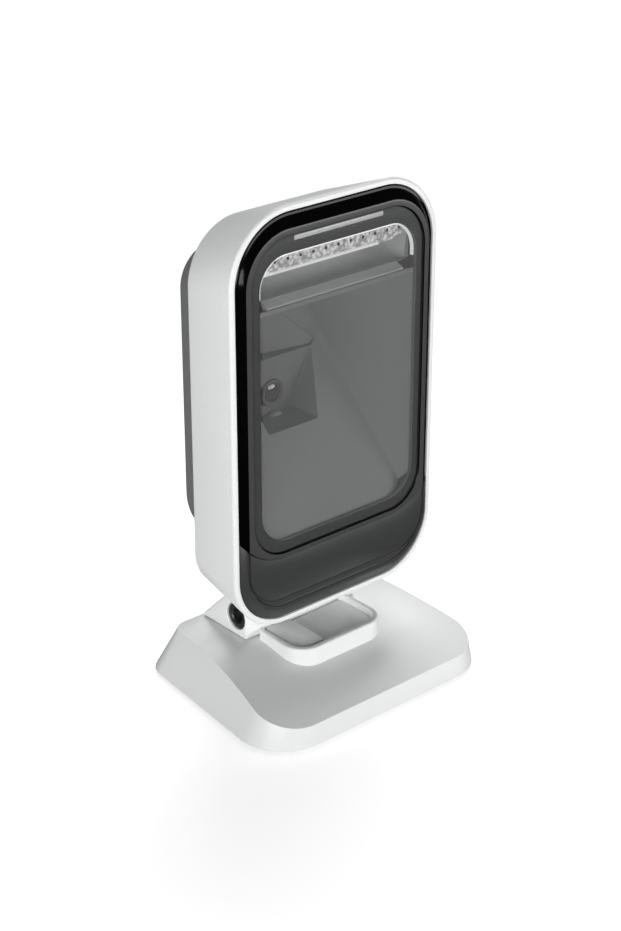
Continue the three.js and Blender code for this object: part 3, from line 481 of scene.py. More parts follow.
def combine(piece, tools, operation):
    """Joins, cuts or limits a piece by other bodies."""
    for bm in tools:
        tool = to_object(bm, "tool")
        modifier = piece.modifiers.new("Combine", "BOOLEAN")
        modifier.operation = operation
        modifier.solver = "EXACT"
        modifier.object = tool
        apply_modifiers(piece)
        bpy.data.objects.remove(tool)


def take_mesh(piece):
    """The mesh of a piece, under construction again; the piece itself goes."""
    bm = bmesh.new()
    bm.from_mesh(piece.data)
    bpy.data.objects.remove(piece)
    return bm


def soften(piece, width, segments=2, angle=30):
    """Rounds the sharp edges of a piece."""
    modifier = piece.modifiers.new("Soften", "BEVEL")
    modifier.width = width
    modifier.segments = segments
    modifier.limit_method = "ANGLE"
    modifier.angle_limit = math.radians(angle)
    modifier.use_clamp_overlap = True
    apply_modifiers(piece)


def softened(bm, width, segments):
    """A body with its sharp edges rounded."""
    piece = to_object(bm, "body")
    soften(piece, width, segments)
    return take_mesh(piece)


def shade(piece, angle=SMOOTH_ANGLE):
    """Smooth shading, with edges sharp past an angle."""
    bm = bmesh.new()
    bm.from_mesh(piece.data)
    for face in bm.faces:
        face.smooth = True
    for edge in bm.edges:
        edge.smooth = len(edge.link_faces) == 2 and edge.calc_face_angle(0) < angle
    bm.to_mesh(piece.data)
    bm.free()


def dress(piece, material, body, slot, *nodes):
    """Gives a piece its finish and its place in the frame."""
    shade(piece)
    piece.data.materials.clear()
    piece.data.materials.append(material)
    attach(piece, body)
    if nodes:
        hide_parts(*nodes)
    return piece


# Finishes

GRAIN_STRENGTH = 0.35
PATCH_SCALE = 38
GLOSS_SPREAD = 0.08


def new_material(name):
    """A node material with its shader and its output; no shader if it is there already."""
    name = "finish_" + name
    material = bpy.data.materials.get(name)
    if material:
        return material, None
    material = bpy.data.materials.new(name)
    material.use_nodes = True
    nodes = material.node_tree.nodes
    nodes.clear()
    shader = nodes.new("ShaderNodeBsdfPrincipled")
    output = nodes.new("ShaderNodeOutputMaterial")
    material.node_tree.links.new(shader.outputs["BSDF"], output.inputs["Surface"])
    return material, shader


def set_inputs(node, values):
    """Fixed values of a node's inputs, by name."""
    for name, value in values.items():
        node.inputs[name].default_value = value


def object_place(tree):
    """A point's place on the object itself."""
    return tree.nodes.new("ShaderNodeTexCoord").outputs["Object"]


def add_noise(tree, scale, detail, place=None):
    """Noise on Object coordinates."""
    noise = tree.nodes.new("ShaderNodeTexNoise")
    set_inputs(noise, {"Scale": scale, "Detail": detail})
    tree.links.new(place or object_place(tree), noise.inputs["Vector"])
    return noise.outputs["Fac"]


def add_ramp(tree, factor, low, high, start=0.3, end=0.7):
    """A colour or value from low to high by a factor."""
    ramp = tree.nodes.new("ShaderNodeValToRGB")
    first, last = ramp.color_ramp.elements
    first.position, first.color = start, low
    last.position, last.color = end, high
    tree.links.new(factor, ramp.inputs["Fac"])
    return ramp.outputs["Color"]


def vary(tree, target, factor, low, high):
    """Feeds an input with a colour or value from low to high by a factor."""
    tree.links.new(add_ramp(tree, factor, low, high), target)


def grey(value):
    """A grey of one value, opaque."""
    return (value, value, value, 1)


def tint(colour, factor):
    """A colour made lighter or darker."""
    return (*[min(channel * factor, 1) for channel in list(colour)[:3]], 1)


def moulded(name, colour, roughness, grain=900, depth=0.012, speckle=0.03, specular=0.5):
    """Moulded plastic: fine grain in its height, small changes in its colour and its gloss."""
    material, shader = new_material(name)
    if shader is None:
        return material
    tree = material.node_tree
    place = object_place(tree)
    fine = add_noise(tree, grain, 3, place)
    broad = add_noise(tree, PATCH_SCALE, 4, place)
    vary(tree, shader.inputs["Base Color"], fine, tint(colour, 1 - speckle), tint(colour, 1 + speckle))
    dull = min(roughness * (1 + GLOSS_SPREAD), 1)
    vary(tree, shader.inputs["Roughness"], broad, grey(roughness * (1 - GLOSS_SPREAD)), grey(dull))
    bump = tree.nodes.new("ShaderNodeBump")
    set_inputs(bump, {"Strength": GRAIN_STRENGTH, "Distance": depth * MM})
    tree.links.new(fine, bump.inputs["Height"])
    tree.links.new(bump.outputs["Normal"], shader.inputs["Normal"])
    set_inputs(shader, {"Specular IOR Level": specular})
    return material


def foot_plastic():
    return moulded("foot_white", settings("finish").foot_white, 0.36, grain=1500, depth=0.01, speckle=0.012)


def shell_paint():
    colour = settings("finish").shell_silver
    return moulded("shell_silver", colour, 0.42, grain=2600, depth=0.02, speckle=0.05)


def bezel_gloss():
    colour = settings("finish").bezel_black
    return moulded("bezel_black", colour, 0.12, grain=700, depth=0.002, speckle=0.2, specular=0.12)


def bezel_ring():
    return moulded("bezel_ring", (0.052, 0.053, 0.053, 1), 0.3, grain=900, depth=0.003, specular=0.3)


def panel_plastic():
    colour = settings("finish").panel_grey
    return moulded("panel_grey", colour, 0.34, grain=1800, depth=0.008, specular=0.35)


def cover_plastic():
    return moulded("cover_grey", settings("finish").cover_grey, 0.5, grain=1600, depth=0.03, speckle=0.08)


def dark_plastic():
    return moulded("dark_plastic", (0.012, 0.012, 0.0125, 1), 0.42, grain=1400, depth=0.015, speckle=0.1)


def rubber():
    colour = (0.016, 0.016, 0.016, 1)
    return moulded("rubber", colour, 0.78, grain=1200, depth=0.04, speckle=0.12, specular=0.3)


def mask_ink():
    return moulded("mask_ink", (0.034, 0.035, 0.035, 1), 0.4, grain=2400, depth=0.004, specular=0.3)


def baffle_plastic():
    return moulded("baffle_grey", (0.21, 0.213, 0.213, 1), 0.5, grain=1300, depth=0.0012, speckle=0.04)


def barrel_plastic():
    return moulded("barrel_grey", (0.09, 0.091, 0.092, 1), 0.45, grain=1400, depth=0.004, speckle=0.06)


def trough_plastic():
    """Clear plastic that looks grey over the dark room behind it."""
    colour = (0.55, 0.555, 0.555, 1)
    return moulded("trough_grey", colour, 0.22, grain=500, depth=0.004, speckle=0.05, specular=0.6)


def light_guide():
    """Frosted clear plastic that lets light through."""
    material, shader = new_material("light_guide")
    if shader is None:
        return material
    tree = material.node_tree
    frost = add_noise(tree, 1400, 3)
    vary(tree, shader.inputs["Base Color"], frost, (0.4, 0.405, 0.405, 1), (0.5, 0.505, 0.505, 1))
    vary(tree, shader.inputs["Roughness"], frost, grey(0.2), grey(0.34))
    set_inputs(shader, {"Subsurface Weight": 0.4, "Subsurface Radius": (MM, MM, MM)})
    return material


def lamp_white():
    """White plastic of the lamp strip, bright with a painted glow, and with painted glints: small cells
    that differ in its colour and its glow.
    """
    material, shader = new_material("lamp_white")
    if shader is None:
        return material
    tree = material.node_tree
    painted_glint_cells = tree.nodes.new("ShaderNodeTexVoronoi")
    set_inputs(painted_glint_cells, {"Scale": 700})
    tree.links.new(object_place(tree), painted_glint_cells.inputs["Vector"])
    white = add_ramp(tree, painted_glint_cells.outputs["Distance"], grey(0.9), grey(0.3), 0.1, 0.7)
    tree.links.new(white, shader.inputs["Base Color"])
    tree.links.new(white, shader.inputs["Emission Color"])
    set_inputs(shader, {"Emission Strength": settings("finish").painted_glow_strength, "Roughness": 0.3})
    return material


def edge_white():
    """White plastic of the strip's edges, with a painted highlight: a glow makes them bright lines."""
    material = moulded("edge_white", (0.85, 0.86, 0.86, 1), 0.3, grain=900, depth=0.003, speckle=0.05)
    shader = next(node for node in material.node_tree.nodes if node.type == "BSDF_PRINCIPLED")
    glow = settings("finish").painted_glow_strength
    set_inputs(shader, {"Emission Color": grey(1), "Emission Strength": glow})
    return material


def window_glass(name, reflection_veil):
    """Clear plate with a faint grey veil: a painted reflection of its bright surroundings."""
    material, shader = new_material(name)
    if shader is None:
        return material
    tree = material.node_tree
    haze = add_noise(tree, 24, 2)
    vary(tree, shader.inputs["Base Color"], haze, (0.17, 0.173, 0.173, 1), (0.185, 0.188, 0.188, 1))
    vary(tree, shader.inputs["Roughness"], haze, grey(0.06), grey(0.09))
    set_inputs(shader, {"Alpha": reflection_veil, "Specular IOR Level": 0.4})
    return material


def clear_glass():
    return window_glass("window_clear", 0.05)


def painted_reflection_glass():
    return window_glass("window_veil", 0.35)


def lens_coating():
    """Dark lens with a coated, shiny face."""
    material, shader = new_material("lens_coating")
    if shader is None:
        return material
    tree = material.node_tree
    sheen = add_noise(tree, 160, 2)
    vary(tree, shader.inputs["Base Color"], sheen, (0.01, 0.012, 0.02, 1), (0.03, 0.02, 0.035, 1))
    set_inputs(shader, {"Roughness": 0.03, "Coat Weight": 1, "Coat Roughness": 0.02})
    return material


def metal(name="steel", colour=(0.56, 0.57, 0.58, 1), roughness=0.3):
    """Plated steel with faint marks of turning."""
    material, shader = new_material(name)
    if shader is None:
        return material
    tree = material.node_tree
    place = object_place(tree)
    marks = add_noise(tree, 1100, 4, place)
    stains = add_noise(tree, 90, 3, place)
    vary(tree, shader.inputs["Base Color"], stains, tint(colour, 0.85), tint(colour, 1.1))
    vary(tree, shader.inputs["Roughness"], marks, grey(roughness * 0.8), grey(roughness * 1.25))
    set_inputs(shader, {"Metallic": 1})
    return material


def circuit_board():
    """Green circuit board: lacquer over tracks that run along the board."""
    material, shader = new_material("board_green")
    if shader is None:
        return material
    tree = material.node_tree
    lacquer = (0.012, 0.07, 0.035, 1)
    place = object_place(tree)
    tracks = tree.nodes.new("ShaderNodeTexBrick")
    set_inputs(tracks, {"Color1": lacquer, "Color2": tint(lacquer, 0.9), "Mortar": (0.03, 0.12, 0.06, 1)})
    set_inputs(tracks, {"Scale": 260, "Mortar Size": 0.012})
    tree.links.new(place, tracks.inputs["Vector"])
    tree.links.new(tracks.outputs["Color"], shader.inputs["Base Color"])
    grain = add_noise(tree, 900, 3, place)
    vary(tree, shader.inputs["Roughness"], grain, grey(0.32), grey(0.45))
    return material


# Foot

# How far each side leans inwards, as a share of its rise
SIDE_LEAN = 0.33
FRONT_LEAN = 0.11
REAR_LEAN = 0.56
CORNER_LEAN = 0.32
FRONT_CORNER = 16 * MM
REAR_CORNER = 10 * MM
# Where the ramp's curve turns, as a share of its length
RAMP_TURN = 0.605
RAMP_STRIPS = 44
LONG_EDGE = 8 * MM
SETTLE_ROUNDS = 6
CREASE_ANGLE = math.radians(25)


def foot_loop(height, inset=0):
    """Plan of the foot at a height."""
    foot = settings("foot")
    rise = height - foot.lift
    side = SIDE_LEAN * rise + inset
    front = -foot.depth / 2 + FRONT_LEAN * rise + inset
    rear = foot.depth / 2 - REAR_LEAN * rise - inset
    corner = CORNER_LEAN * rise + inset
    corners = [
        (side - foot.width / 2, front, FRONT_CORNER - corner),
        (foot.width / 2 - side, front, FRONT_CORNER - corner),
        (foot.rear_width / 2 - side, rear, REAR_CORNER - corner),
        (side - foot.rear_width / 2, rear, REAR_CORNER - corner),
    ]
    return at_height(rounded_points(corners), height)


def ramp_height(y):
    """Height of the foot's top at a distance from the front."""
    foot = settings("foot")
    start = -foot.depth / 2 + (foot.front_height - foot.lift) * FRONT_LEAN
    end = foot.depth / 2 - foot.seat_depth
    if y >= end:
        return foot.seat_height
    turn = start + (end - start) * RAMP_TURN
    a = start - 2 * turn + end
    b = 2 * (turn - start)
    share = (-b + math.sqrt(max(b * b - 4 * a * (start - y), 0))) / (2 * a)
    low, high = foot.front_height, foot.seat_height
    return (1 - share) ** 2 * low + (2 * share * (1 - share) + share**2) * high


def rise_of(edge):
    """How far an edge rises from end to end."""
    return abs(edge.verts[0].co.z - edge.verts[1].co.z)


def foot_body(inset=0, drop=0, low=None, crease=0):
    """The drafted foot under its ramp; inset and drop make the room inside the cover."""
    foot = settings("foot")
    low = foot.lift if low is None else low
    high = foot.seat_height + MM
    bm = bmesh.new()
    extrude_loop(bm, start_loop(bm, foot_loop(low, inset)), foot_loop(high, inset))
    long_edges = [
        e for e in bm.edges
        if rise_of(e) < MM / 100 and abs(e.verts[0].co.y - e.verts[1].co.y) > LONG_EDGE
    ]
    bmesh.ops.subdivide_edges(bm, edges=long_edges, cuts=RAMP_STRIPS, use_grid_fill=False)
    for edge in [e for e in bm.edges if rise_of(e) > MM]:
        foot_end, top = sorted(edge.verts, key=lambda v: v.co.z)
        slope = (top.co - foot_end.co) / (top.co.z - foot_end.co.z)
        for _ in range(SETTLE_ROUNDS):
            height = ramp_height(top.co.y) - drop
            top.co = foot_end.co + slope * (height - foot_end.co.z)
    rim = [e for e in bm.edges if e.is_boundary and max(v.co.z for v in e.verts) > low + MM]
    left = [e for e in rim if max(v.co.x for v in e.verts) < MM]
    right = [e for e in rim if min(v.co.x for v in e.verts) > -MM]
    bmesh.ops.bridge_loops(bm, edges=left + right)
    bmesh.ops.holes_fill(bm, edges=[e for e in bm.edges if e.is_boundary], sides=0)
    bmesh.ops.recalc_face_normals(bm, faces=bm.faces)
    if crease:
        sharp = [
            e for e in bm.edges
            if e.calc_face_angle(0) > CREASE_ANGLE and min(v.co.z for v in e.verts) > low + MM
        ]
        bmesh.ops.bevel(
            bm, geom=sharp, offset=crease, offset_type="OFFSET", segments=4, profile=0.5,
            affect="EDGES", material=-1, clamp_overlap=True,
        )
    return bm


COLLAR_REAR = 5.05 * MM
COLLAR_CORNER = 8 * MM
COLLAR_ROUND = 0.7 * MM
RIM_HEIGHT = 19.1 * MM
# Spread and height in millimetres of the collar's wall, upwards
COLLAR_WALL = [(0.7, 7.4), (0.45, 12)]
# Spread and height of the hollow's wall in millimetres: at its foot, and then from the rim's height
HOLLOW_LOW = (-0.9, 8.4)
HOLLOW_EDGE = [(-0.1, -0.6), (0.05, -0.2), (0.3, 0), (0.4, 1)]
HOLLOW_SLIP = 0.25 * MM
# Heights of the body that makes the hollow's floor: below, and on top at its left and right end
HOLLOW_UNDER = 5 * MM
HOLLOW_LEFT = 16.7 * MM
HOLLOW_RIGHT = 17.3 * MM
LEDGE_GAP = 1.5 * MM
LEDGE_LOW = 14 * MM
LEDGE_TOP = 18.45 * MM
LEDGE_ROUND = 0.25 * MM
# What is cut away on the right of the ledge, between two corners in millimetres
LEDGE_CUT = [(-5.7, -30, 10), (30, 30, 20)]


def collar_loop(spread, height, rear=COLLAR_REAR):
    """Plan of the collar at a height, spread outwards from the edge of its rim."""
    foot = settings("foot")
    half = foot.collar_width / 2 + spread
    front = COLLAR_REAR - foot.collar_reach - spread
    points = rounded_points([
        (-half, front, COLLAR_CORNER + spread),
        (half, front, COLLAR_CORNER + spread),
        (half, rear, foot.collar_wall),
        (-half, rear, foot.collar_wall),
    ])
    return at_height(points, height)


def collar_body():
    """The steep outside of the collar, up to its rounded rim."""
    rounding = [(-inset, RIM_HEIGHT - along) for inset, along in quarter_round(COLLAR_ROUND)]
    return skin([collar_loop(*level) for level in in_mm(COLLAR_WALL) + rounding[::-1]])


def hollow_body():
    """The hollow of the collar, rounded at its upper edge."""
    inner = -settings("foot").collar_wall
    levels = in_mm([HOLLOW_LOW]) + [(spread, RIM_HEIGHT + rise) for spread, rise in in_mm(HOLLOW_EDGE)]
    rear = COLLAR_REAR + HOLLOW_SLIP
    return skin([collar_loop(inner + spread, height, rear) for spread, height in levels])


def hollow_floor():
    """The floor of the hollow, which rises a little to the right."""
    half = settings("foot").collar_width / 2
    front = COLLAR_REAR - settings("foot").collar_reach - MM
    outline = [(-half, HOLLOW_UNDER), (half, HOLLOW_UNDER), (half, HOLLOW_RIGHT), (-half, HOLLOW_LEFT)]
    points = [Vector((x, front, z)) for x, z in outline]
    return prism_body(points, (0, COLLAR_REAR + MM - front, 0))


def ledge_body():
    """The raised ledge in the left part of the hollow, with a gap round it."""
    inset = -settings("foot").collar_wall - LEDGE_GAP
    loops = [collar_loop(inset, height, COLLAR_REAR + MM) for height in (LEDGE_LOW, LEDGE_TOP)]
    ledge = to_object(skin(loops), "ledge")
    combine(ledge, [box_body(*in_mm(LEDGE_CUT))], "DIFFERENCE")
    soften(ledge, LEDGE_ROUND)
    return take_mesh(ledge)


def build_base_cover():
    foot = settings("foot")
    cover = to_object(foot_body(crease=foot.crease_round), "foot_cover")
    combine(cover, [foot_body(foot.wall, foot.wall, foot.lift - MM)], "DIFFERENCE")
    combine(cover, [collar_body()], "UNION")
    hollow = to_object(hollow_body(), "hollow")
    combine(hollow, [hollow_floor(), ledge_body()], "DIFFERENCE")
    combine(cover, [take_mesh(hollow)], "DIFFERENCE")
    return dress(cover, foot_plastic(), "stand", "foot_white", "base_cover")


PLATE_LOW = 1.5 * MM
PLATE_HIGH = 3.3 * MM
PLATE_CHAMFER = 0.4 * MM
PLATE_SPOTS = in_mm([(31.67, -13.05), (-31.67, -13.05), (29.03, 13.05), (-29.03, 13.05)])
WELL_RADIUS = 1.6 * MM
WELL_LENGTH = 5 * MM


def build_base_plate():
    inset = settings("foot").wall + GAP
    levels = ((PLATE_HIGH, 0), (PLATE_LOW + PLATE_CHAMFER, 0), (PLATE_LOW, PLATE_CHAMFER))
    loops = [at_height(foot_loop(PLATE_HIGH, inset + chamfer), z) for z, chamfer in levels]
    plate = to_object(skin(loops), "foot_plate")
    wells = [rod_body(WELL_RADIUS, (0, 0, 1), (x, y, 0), WELL_LENGTH, SMALL_SIDES) for x, y in PLATE_SPOTS]
    combine(plate, wells, "DIFFERENCE")
    return dress(plate, dark_plastic(), "stand", "black_plastic", "base_plate")


# Places of the rubber pads, and radius and height of their outline, in millimetres
PAD_SPOTS = {
    "front_left": (-32.98, -24.05),
    "front_right": (32.98, -24.05),
    "rear_left": (-28.01, 25.05),
    "rear_right": (28.01, 25.05),
}
PAD_PROFILE = [(0, 0), (4.3, 0), (4.65, 0.08), (4.9, 0.3), (5, 0.6), (5, 1.2), (0, 1.2)]


def build_rubber_feet():
    for place, (x, y) in PAD_SPOTS.items():
        body = turned_body(in_mm(PAD_PROFILE), (0, 0, 1), (x * MM, y * MM, 0))
        dress(to_object(body, "pad_" + place), rubber(), "stand", "rubber", "rubber_foot_" + place)


# Radius and distance from the seat of a screw's head, its shank's sizes and lengths, in millimetres
SCREW_CROWN = 0.9
SCREW_HEAD = [(0, -SCREW_CROWN), (1.5, -0.88), (2.1, -0.74), (2.45, -0.45), (2.6, 0)]
SCREW_RADIUS = 1.3
SCREW_TIP = 0.5
SCREW_TAPER = 0.8
PLATE_SCREW_LENGTH = 6
COVER_SCREW_LENGTH = 9.2
# In metres: height of the seat of the plate's screws, and size of each bar of the cross recess
PLATE_SCREW_SEAT = 1.2 * MM
CROSS_SIZE = (2.4 * MM, 0.45 * MM, MM)


def screw_body(axis, seat, length):
    """A pan-head screw with a cross recess; the axis points from the head to the tip."""
    shank = [(SCREW_RADIUS, 0), (SCREW_RADIUS, length - SCREW_TAPER), (SCREW_TIP, length), (0, length)]
    screw = to_object(turned_body(in_mm(SCREW_HEAD + shank), axis, seat, SMALL_SIDES), "screw")
    axis = Vector(axis)
    side = axis.orthogonal()
    cross = axis.cross(side)
    crown = Matrix.Translation(Vector(seat) - axis * SCREW_CROWN * MM)
    for along, across in ((side, cross), (cross, side)):
        turn = Matrix((along, across, axis)).transposed().to_4x4()
        bm = bmesh.new()
        bmesh.ops.create_cube(bm, size=1, matrix=crown @ turn @ Matrix.Diagonal((*CROSS_SIZE, 1)))
        combine(screw, [bm], "DIFFERENCE")
    return take_mesh(screw)


def build_base_screws():
    for index, (x, y) in enumerate(PLATE_SPOTS, 1):
        body = screw_body((0, 0, 1), (x, y, PLATE_SCREW_SEAT), PLATE_SCREW_LENGTH)
        dress(to_object(body, f"plate_screw_{index}"), metal(), "stand", "steel", f"base_screw_{index}")


# Hinge

# Places of the yoke's sides and of the slot in it, and its heights
YOKE_FRONT = HINGE_Y - 5.1 * MM
YOKE_REAR = HINGE_Y + 16.6 * MM
YOKE_CREST = HINGE_Y + 3.9 * MM
YOKE_TOP = HINGE_Z + 7 * MM
YOKE_BOTTOM = 16.9 * MM
YOKE_TAIL = 0.9 * MM
YOKE_NOSE = 4 * MM
SLOT_FLOOR = YOKE_BOTTOM + 1.5 * MM
SLOT_REAR = HINGE_Y + 10.2 * MM
BUSH_SEAT = 17.1 * MM
# Widening and distance past the yoke's end of a bush's mouth, in millimetres
BUSH_MOUTH = [(0, -0.25), (0.3, 0.05), (0.3, 1)]


def build_yoke():
    hinge = settings("hinge")
    half = hinge.yoke_width / 2
    outline = [
        (YOKE_FRONT, YOKE_BOTTOM, 0), (YOKE_REAR, YOKE_BOTTOM, 0), (YOKE_REAR, YOKE_BOTTOM + YOKE_TAIL, 0),
        (YOKE_CREST, YOKE_TOP, 0), (YOKE_FRONT, YOKE_TOP, YOKE_NOSE),
    ]
    points = [Vector((-half, p.x, p.y)) for p in rounded_points(outline)]
    yoke = to_object(prism_body(points, (2 * half, 0, 0)), "yoke")
    slot = hinge.slot_width / 2
    low, high = (-slot, YOKE_FRONT - MM, SLOT_FLOOR), (slot, SLOT_REAR, YOKE_TOP + MM)
    combine(yoke, [box_body(low, high)], "DIFFERENCE")
    soften(yoke, hinge.edge_round, 3)
    radius = hinge.cap_radius + GAP
    mouth = [(radius + wider, half + past) for wider, past in in_mm(BUSH_MOUTH)]
    profile = [(0, BUSH_SEAT), (radius, BUSH_SEAT), *mouth, (0, half + MM)]
    ends = [turned_body(profile, (side, 0, 0), (0, HINGE_Y, HINGE_Z)) for side in (-1, 1)]
    ends.append(rod_body(AXLE_BORE, (1, 0, 0), (-half, HINGE_Y, HINGE_Z), 2 * half))
    combine(yoke, ends, "DIFFERENCE")
    return dress(yoke, foot_plastic(), "stand", "foot_white", "hinge_yoke")


CAP_OUTER = 23 * MM
CAP_INNER = 20.1 * MM
CAP_BORE = 2.4 * MM
# Rounding of a cap's outer and inner edge, from its radius and its end, in millimetres
CAP_EDGE = [(0, -0.35), (-0.1, -0.1), (-0.35, 0)]
CAP_MOUTH = [(0.5, 0), (0, -0.5)]
# Radius and place along the axle in millimetres: its plain end, and its head from its seat
AXLE_SEAT = 17.4
AXLE_END = [(0, -19.5), (2.2, -19.5), (2.5, -19.2)]
AXLE_HEAD = [(2.5, 0), (4.1, 0), (4.1, 1.9), (3.7, 2.4), (1.5, 2.4), (1.5, 1.2), (0, 1.2)]


def build_hinge_trim():
    radius = settings("hinge").cap_radius
    centre = (0, HINGE_Y, HINGE_Z)
    edge = [(radius + out, CAP_OUTER + along) for out, along in in_mm(CAP_EDGE)]
    mouth = [(CAP_BORE + out, CAP_OUTER + along) for out, along in in_mm(CAP_MOUTH)]
    profile = [(CAP_BORE, CAP_INNER), (radius, CAP_INNER), *edge, *mouth, (CAP_BORE, CAP_INNER)]
    for side, name in ((-1, "left"), (1, "right")):
        cap = to_object(turned_body(profile, (side, 0, 0), centre), "bush_" + name)
        dress(cap, dark_plastic(), "stand", "black_plastic", "hinge_cap_" + name)
    profile = AXLE_END + [(out, AXLE_SEAT + along) for out, along in AXLE_HEAD]
    axle = to_object(turned_body(in_mm(profile), (-1, 0, 0), centre), "axle")
    dress(axle, metal(), "stand", "steel", "hinge_axle")


NECK_LOW = (-10 * MM, HINGE_Y - 5.2 * MM, HINGE_Z)
NECK_HIGH = (10 * MM, HINGE_Y + 1.8 * MM, HINGE_Z + 14.6 * MM)
NECK_ROUND = 0.5 * MM
KNUCKLE_GAP = 1.3 * MM
FLANGE_HALF = Vector((19 * MM, 7.5 * MM, 1.2 * MM))
FLANGE_DEPTH = 14.5 * MM
FLANGE_LIFT = 1.5 * MM
# Height of the housing's floor inside at the face plane, and its rise to the back
INSIDE_START = 0.8 * MM
INSIDE_SLOPE = 4.8 / 25.85


def build_head_foot():
    """The knuckle and neck that show in the yoke's slot, with the flange inside the housing."""
    hinge = settings("hinge")
    half = hinge.slot_width / 2 - KNUCKLE_GAP
    foot = to_object(box_body(NECK_LOW, NECK_HIGH), "head_foot")
    soften(foot, NECK_ROUND, 3)
    combine(foot, [rod_body(hinge.knuckle_radius, (1, 0, 0), (-half, HINGE_Y, HINGE_Z), 2 * half)], "UNION")
    flange = box_body(-FLANGE_HALF, FLANGE_HALF)
    slope = math.atan(INSIDE_SLOPE)
    height = INSIDE_START + INSIDE_SLOPE * FLANGE_DEPTH + FLANGE_LIFT / math.cos(slope)
    place = Matrix.Translation(head_point(0, FLANGE_DEPTH, height)) @ Matrix.Rotation(slope, 4, "X")
    bmesh.ops.transform(flange, matrix=place, verts=flange.verts)
    combine(foot, [flange], "UNION")
    bore = rod_body(AXLE_BORE, (1, 0, 0), (-half - MM, HINGE_Y, HINGE_Z), 2 * half + 2 * MM)
    combine(foot, [bore], "DIFFERENCE")
    return dress(foot, metal("cast_foot", (0.34, 0.345, 0.35, 1), 0.42), "head", "steel", "hinge_foot")


# Housing and rear cover

RIM_LEAD = 0.6 * MM
RIM_ROUND = 0.9 * MM
REAR_ROUND = 1.2 * MM
REAR_INSET = 22.8 * MM
REAR_EDGE = 0.3 * MM
HOUSING_WALL = 2 * MM
HOUSING_FLOOR = 3 * MM
HOUSING_LIP = 0.25 * MM
LIP_SHARE = 0.3
BEZEL_THICKNESS = 2.2 * MM
FACE_SEAT = BEZEL_THICKNESS + GAP
FINE_STEPS = 28
NOTCH_LOW = (-10.6 * MM, HINGE_Y - 5.8 * MM, FACE_Z - 4 * MM)
NOTCH_HIGH = (10.6 * MM, HINGE_Y + 2.4 * MM, FACE_Z + 7.5 * MM)


def bezel_form():
    head = settings("head")
    return Form(head.bezel_width, 0, head.bezel_height, 17.8 * MM, 20 * MM)


def housing_front():
    return bezel_form().inward(-settings("head").rim_width)


def housing_rear():
    return Form(settings("head").rear_width, 2.6 * MM, 124.2 * MM, 13.9 * MM, 19.4 * MM)


def rear_opening():
    return Form(settings("head").rear_width - REAR_INSET, 14 * MM, 112.8 * MM, 8 * MM, 8 * MM)


def build_housing():
    depth = settings("head").depth
    pocket, front, rear = bezel_form().inward(-GAP), housing_front(), housing_rear()
    sections = [
        (pocket, FACE_SEAT),
        (pocket, HOUSING_LIP - RIM_LEAD),
        (pocket.inward(-LIP_SHARE * HOUSING_LIP), LIP_SHARE * HOUSING_LIP - RIM_LEAD),
        (pocket.inward(-HOUSING_LIP), -RIM_LEAD),
    ]
    sections += [(front.inward(inset), along - RIM_LEAD) for inset, along in quarter_round(RIM_ROUND)]
    rounding = list(quarter_round(REAR_ROUND))
    sections += [(rear.inward(inset), depth - along) for inset, along in reversed(rounding)]
    inner = depth - HOUSING_WALL
    sections += [
        (rear_opening().inward(-REAR_EDGE), depth),
        (rear_opening(), depth - REAR_EDGE),
        (rear_opening(), inner),
        (rear.inward(HOUSING_WALL, HOUSING_FLOOR), inner),
        (front.towards(rear, FACE_SEAT / depth).inward(HOUSING_WALL, HOUSING_FLOOR), FACE_SEAT),
    ]
    housing = to_object(ring_body(sections, FINE_STEPS), "housing")
    combine(housing, [box_body(NOTCH_LOW, NOTCH_HIGH)], "DIFFERENCE")
    return dress(housing, shell_paint(), "head", "shell_silver", "head_housing")


# Distances across and up of the rear cover's screws
COVER_SPOTS = in_mm([(-24.35, 24.2), (24.35, 24.2), (-24.35, 102.8), (24.35, 102.8)])
COVER_SEAT = 3.4 * MM
COVER_ROUND = 3 * MM
COVER_TAPER = MM
COVER_WALL = 1.9 * MM
COVER_EDGE = 0.3 * MM
BOSS_RADIUS = 4.2 * MM
BOSS_START = Vector((0, 0.2 * MM, 0))
BOSS_SHORT = 1.2 * MM
COVER_WELL = 2.9 * MM
# Widening and distance past the cover's back of a well's mouth, in millimetres
WELL_MOUTH = [(0, -0.4), (0.4, 0), (0.4, 1)]
SLOT_COUNT = 5
SLOT_MIDDLE = 14 * MM
SLOT_PITCH = 3.4 * MM
SLOT_DEPTH = 3 * MM
# Two corners (x, depth, height) of the cable socket's room, in millimetres
SOCKET_ROOM = [(-6.5, 26.7, 10), (6.5, 31.7, 16.2)]


def cover_form():
    return Form(settings("head").cover_width, 12.2 * MM, 114.8 * MM, 21 * MM, 14 * MM)


def sound_slot():
    return Form(1.5 * MM, 34 * MM, 42 * MM, 0.74 * MM, 0.74 * MM)


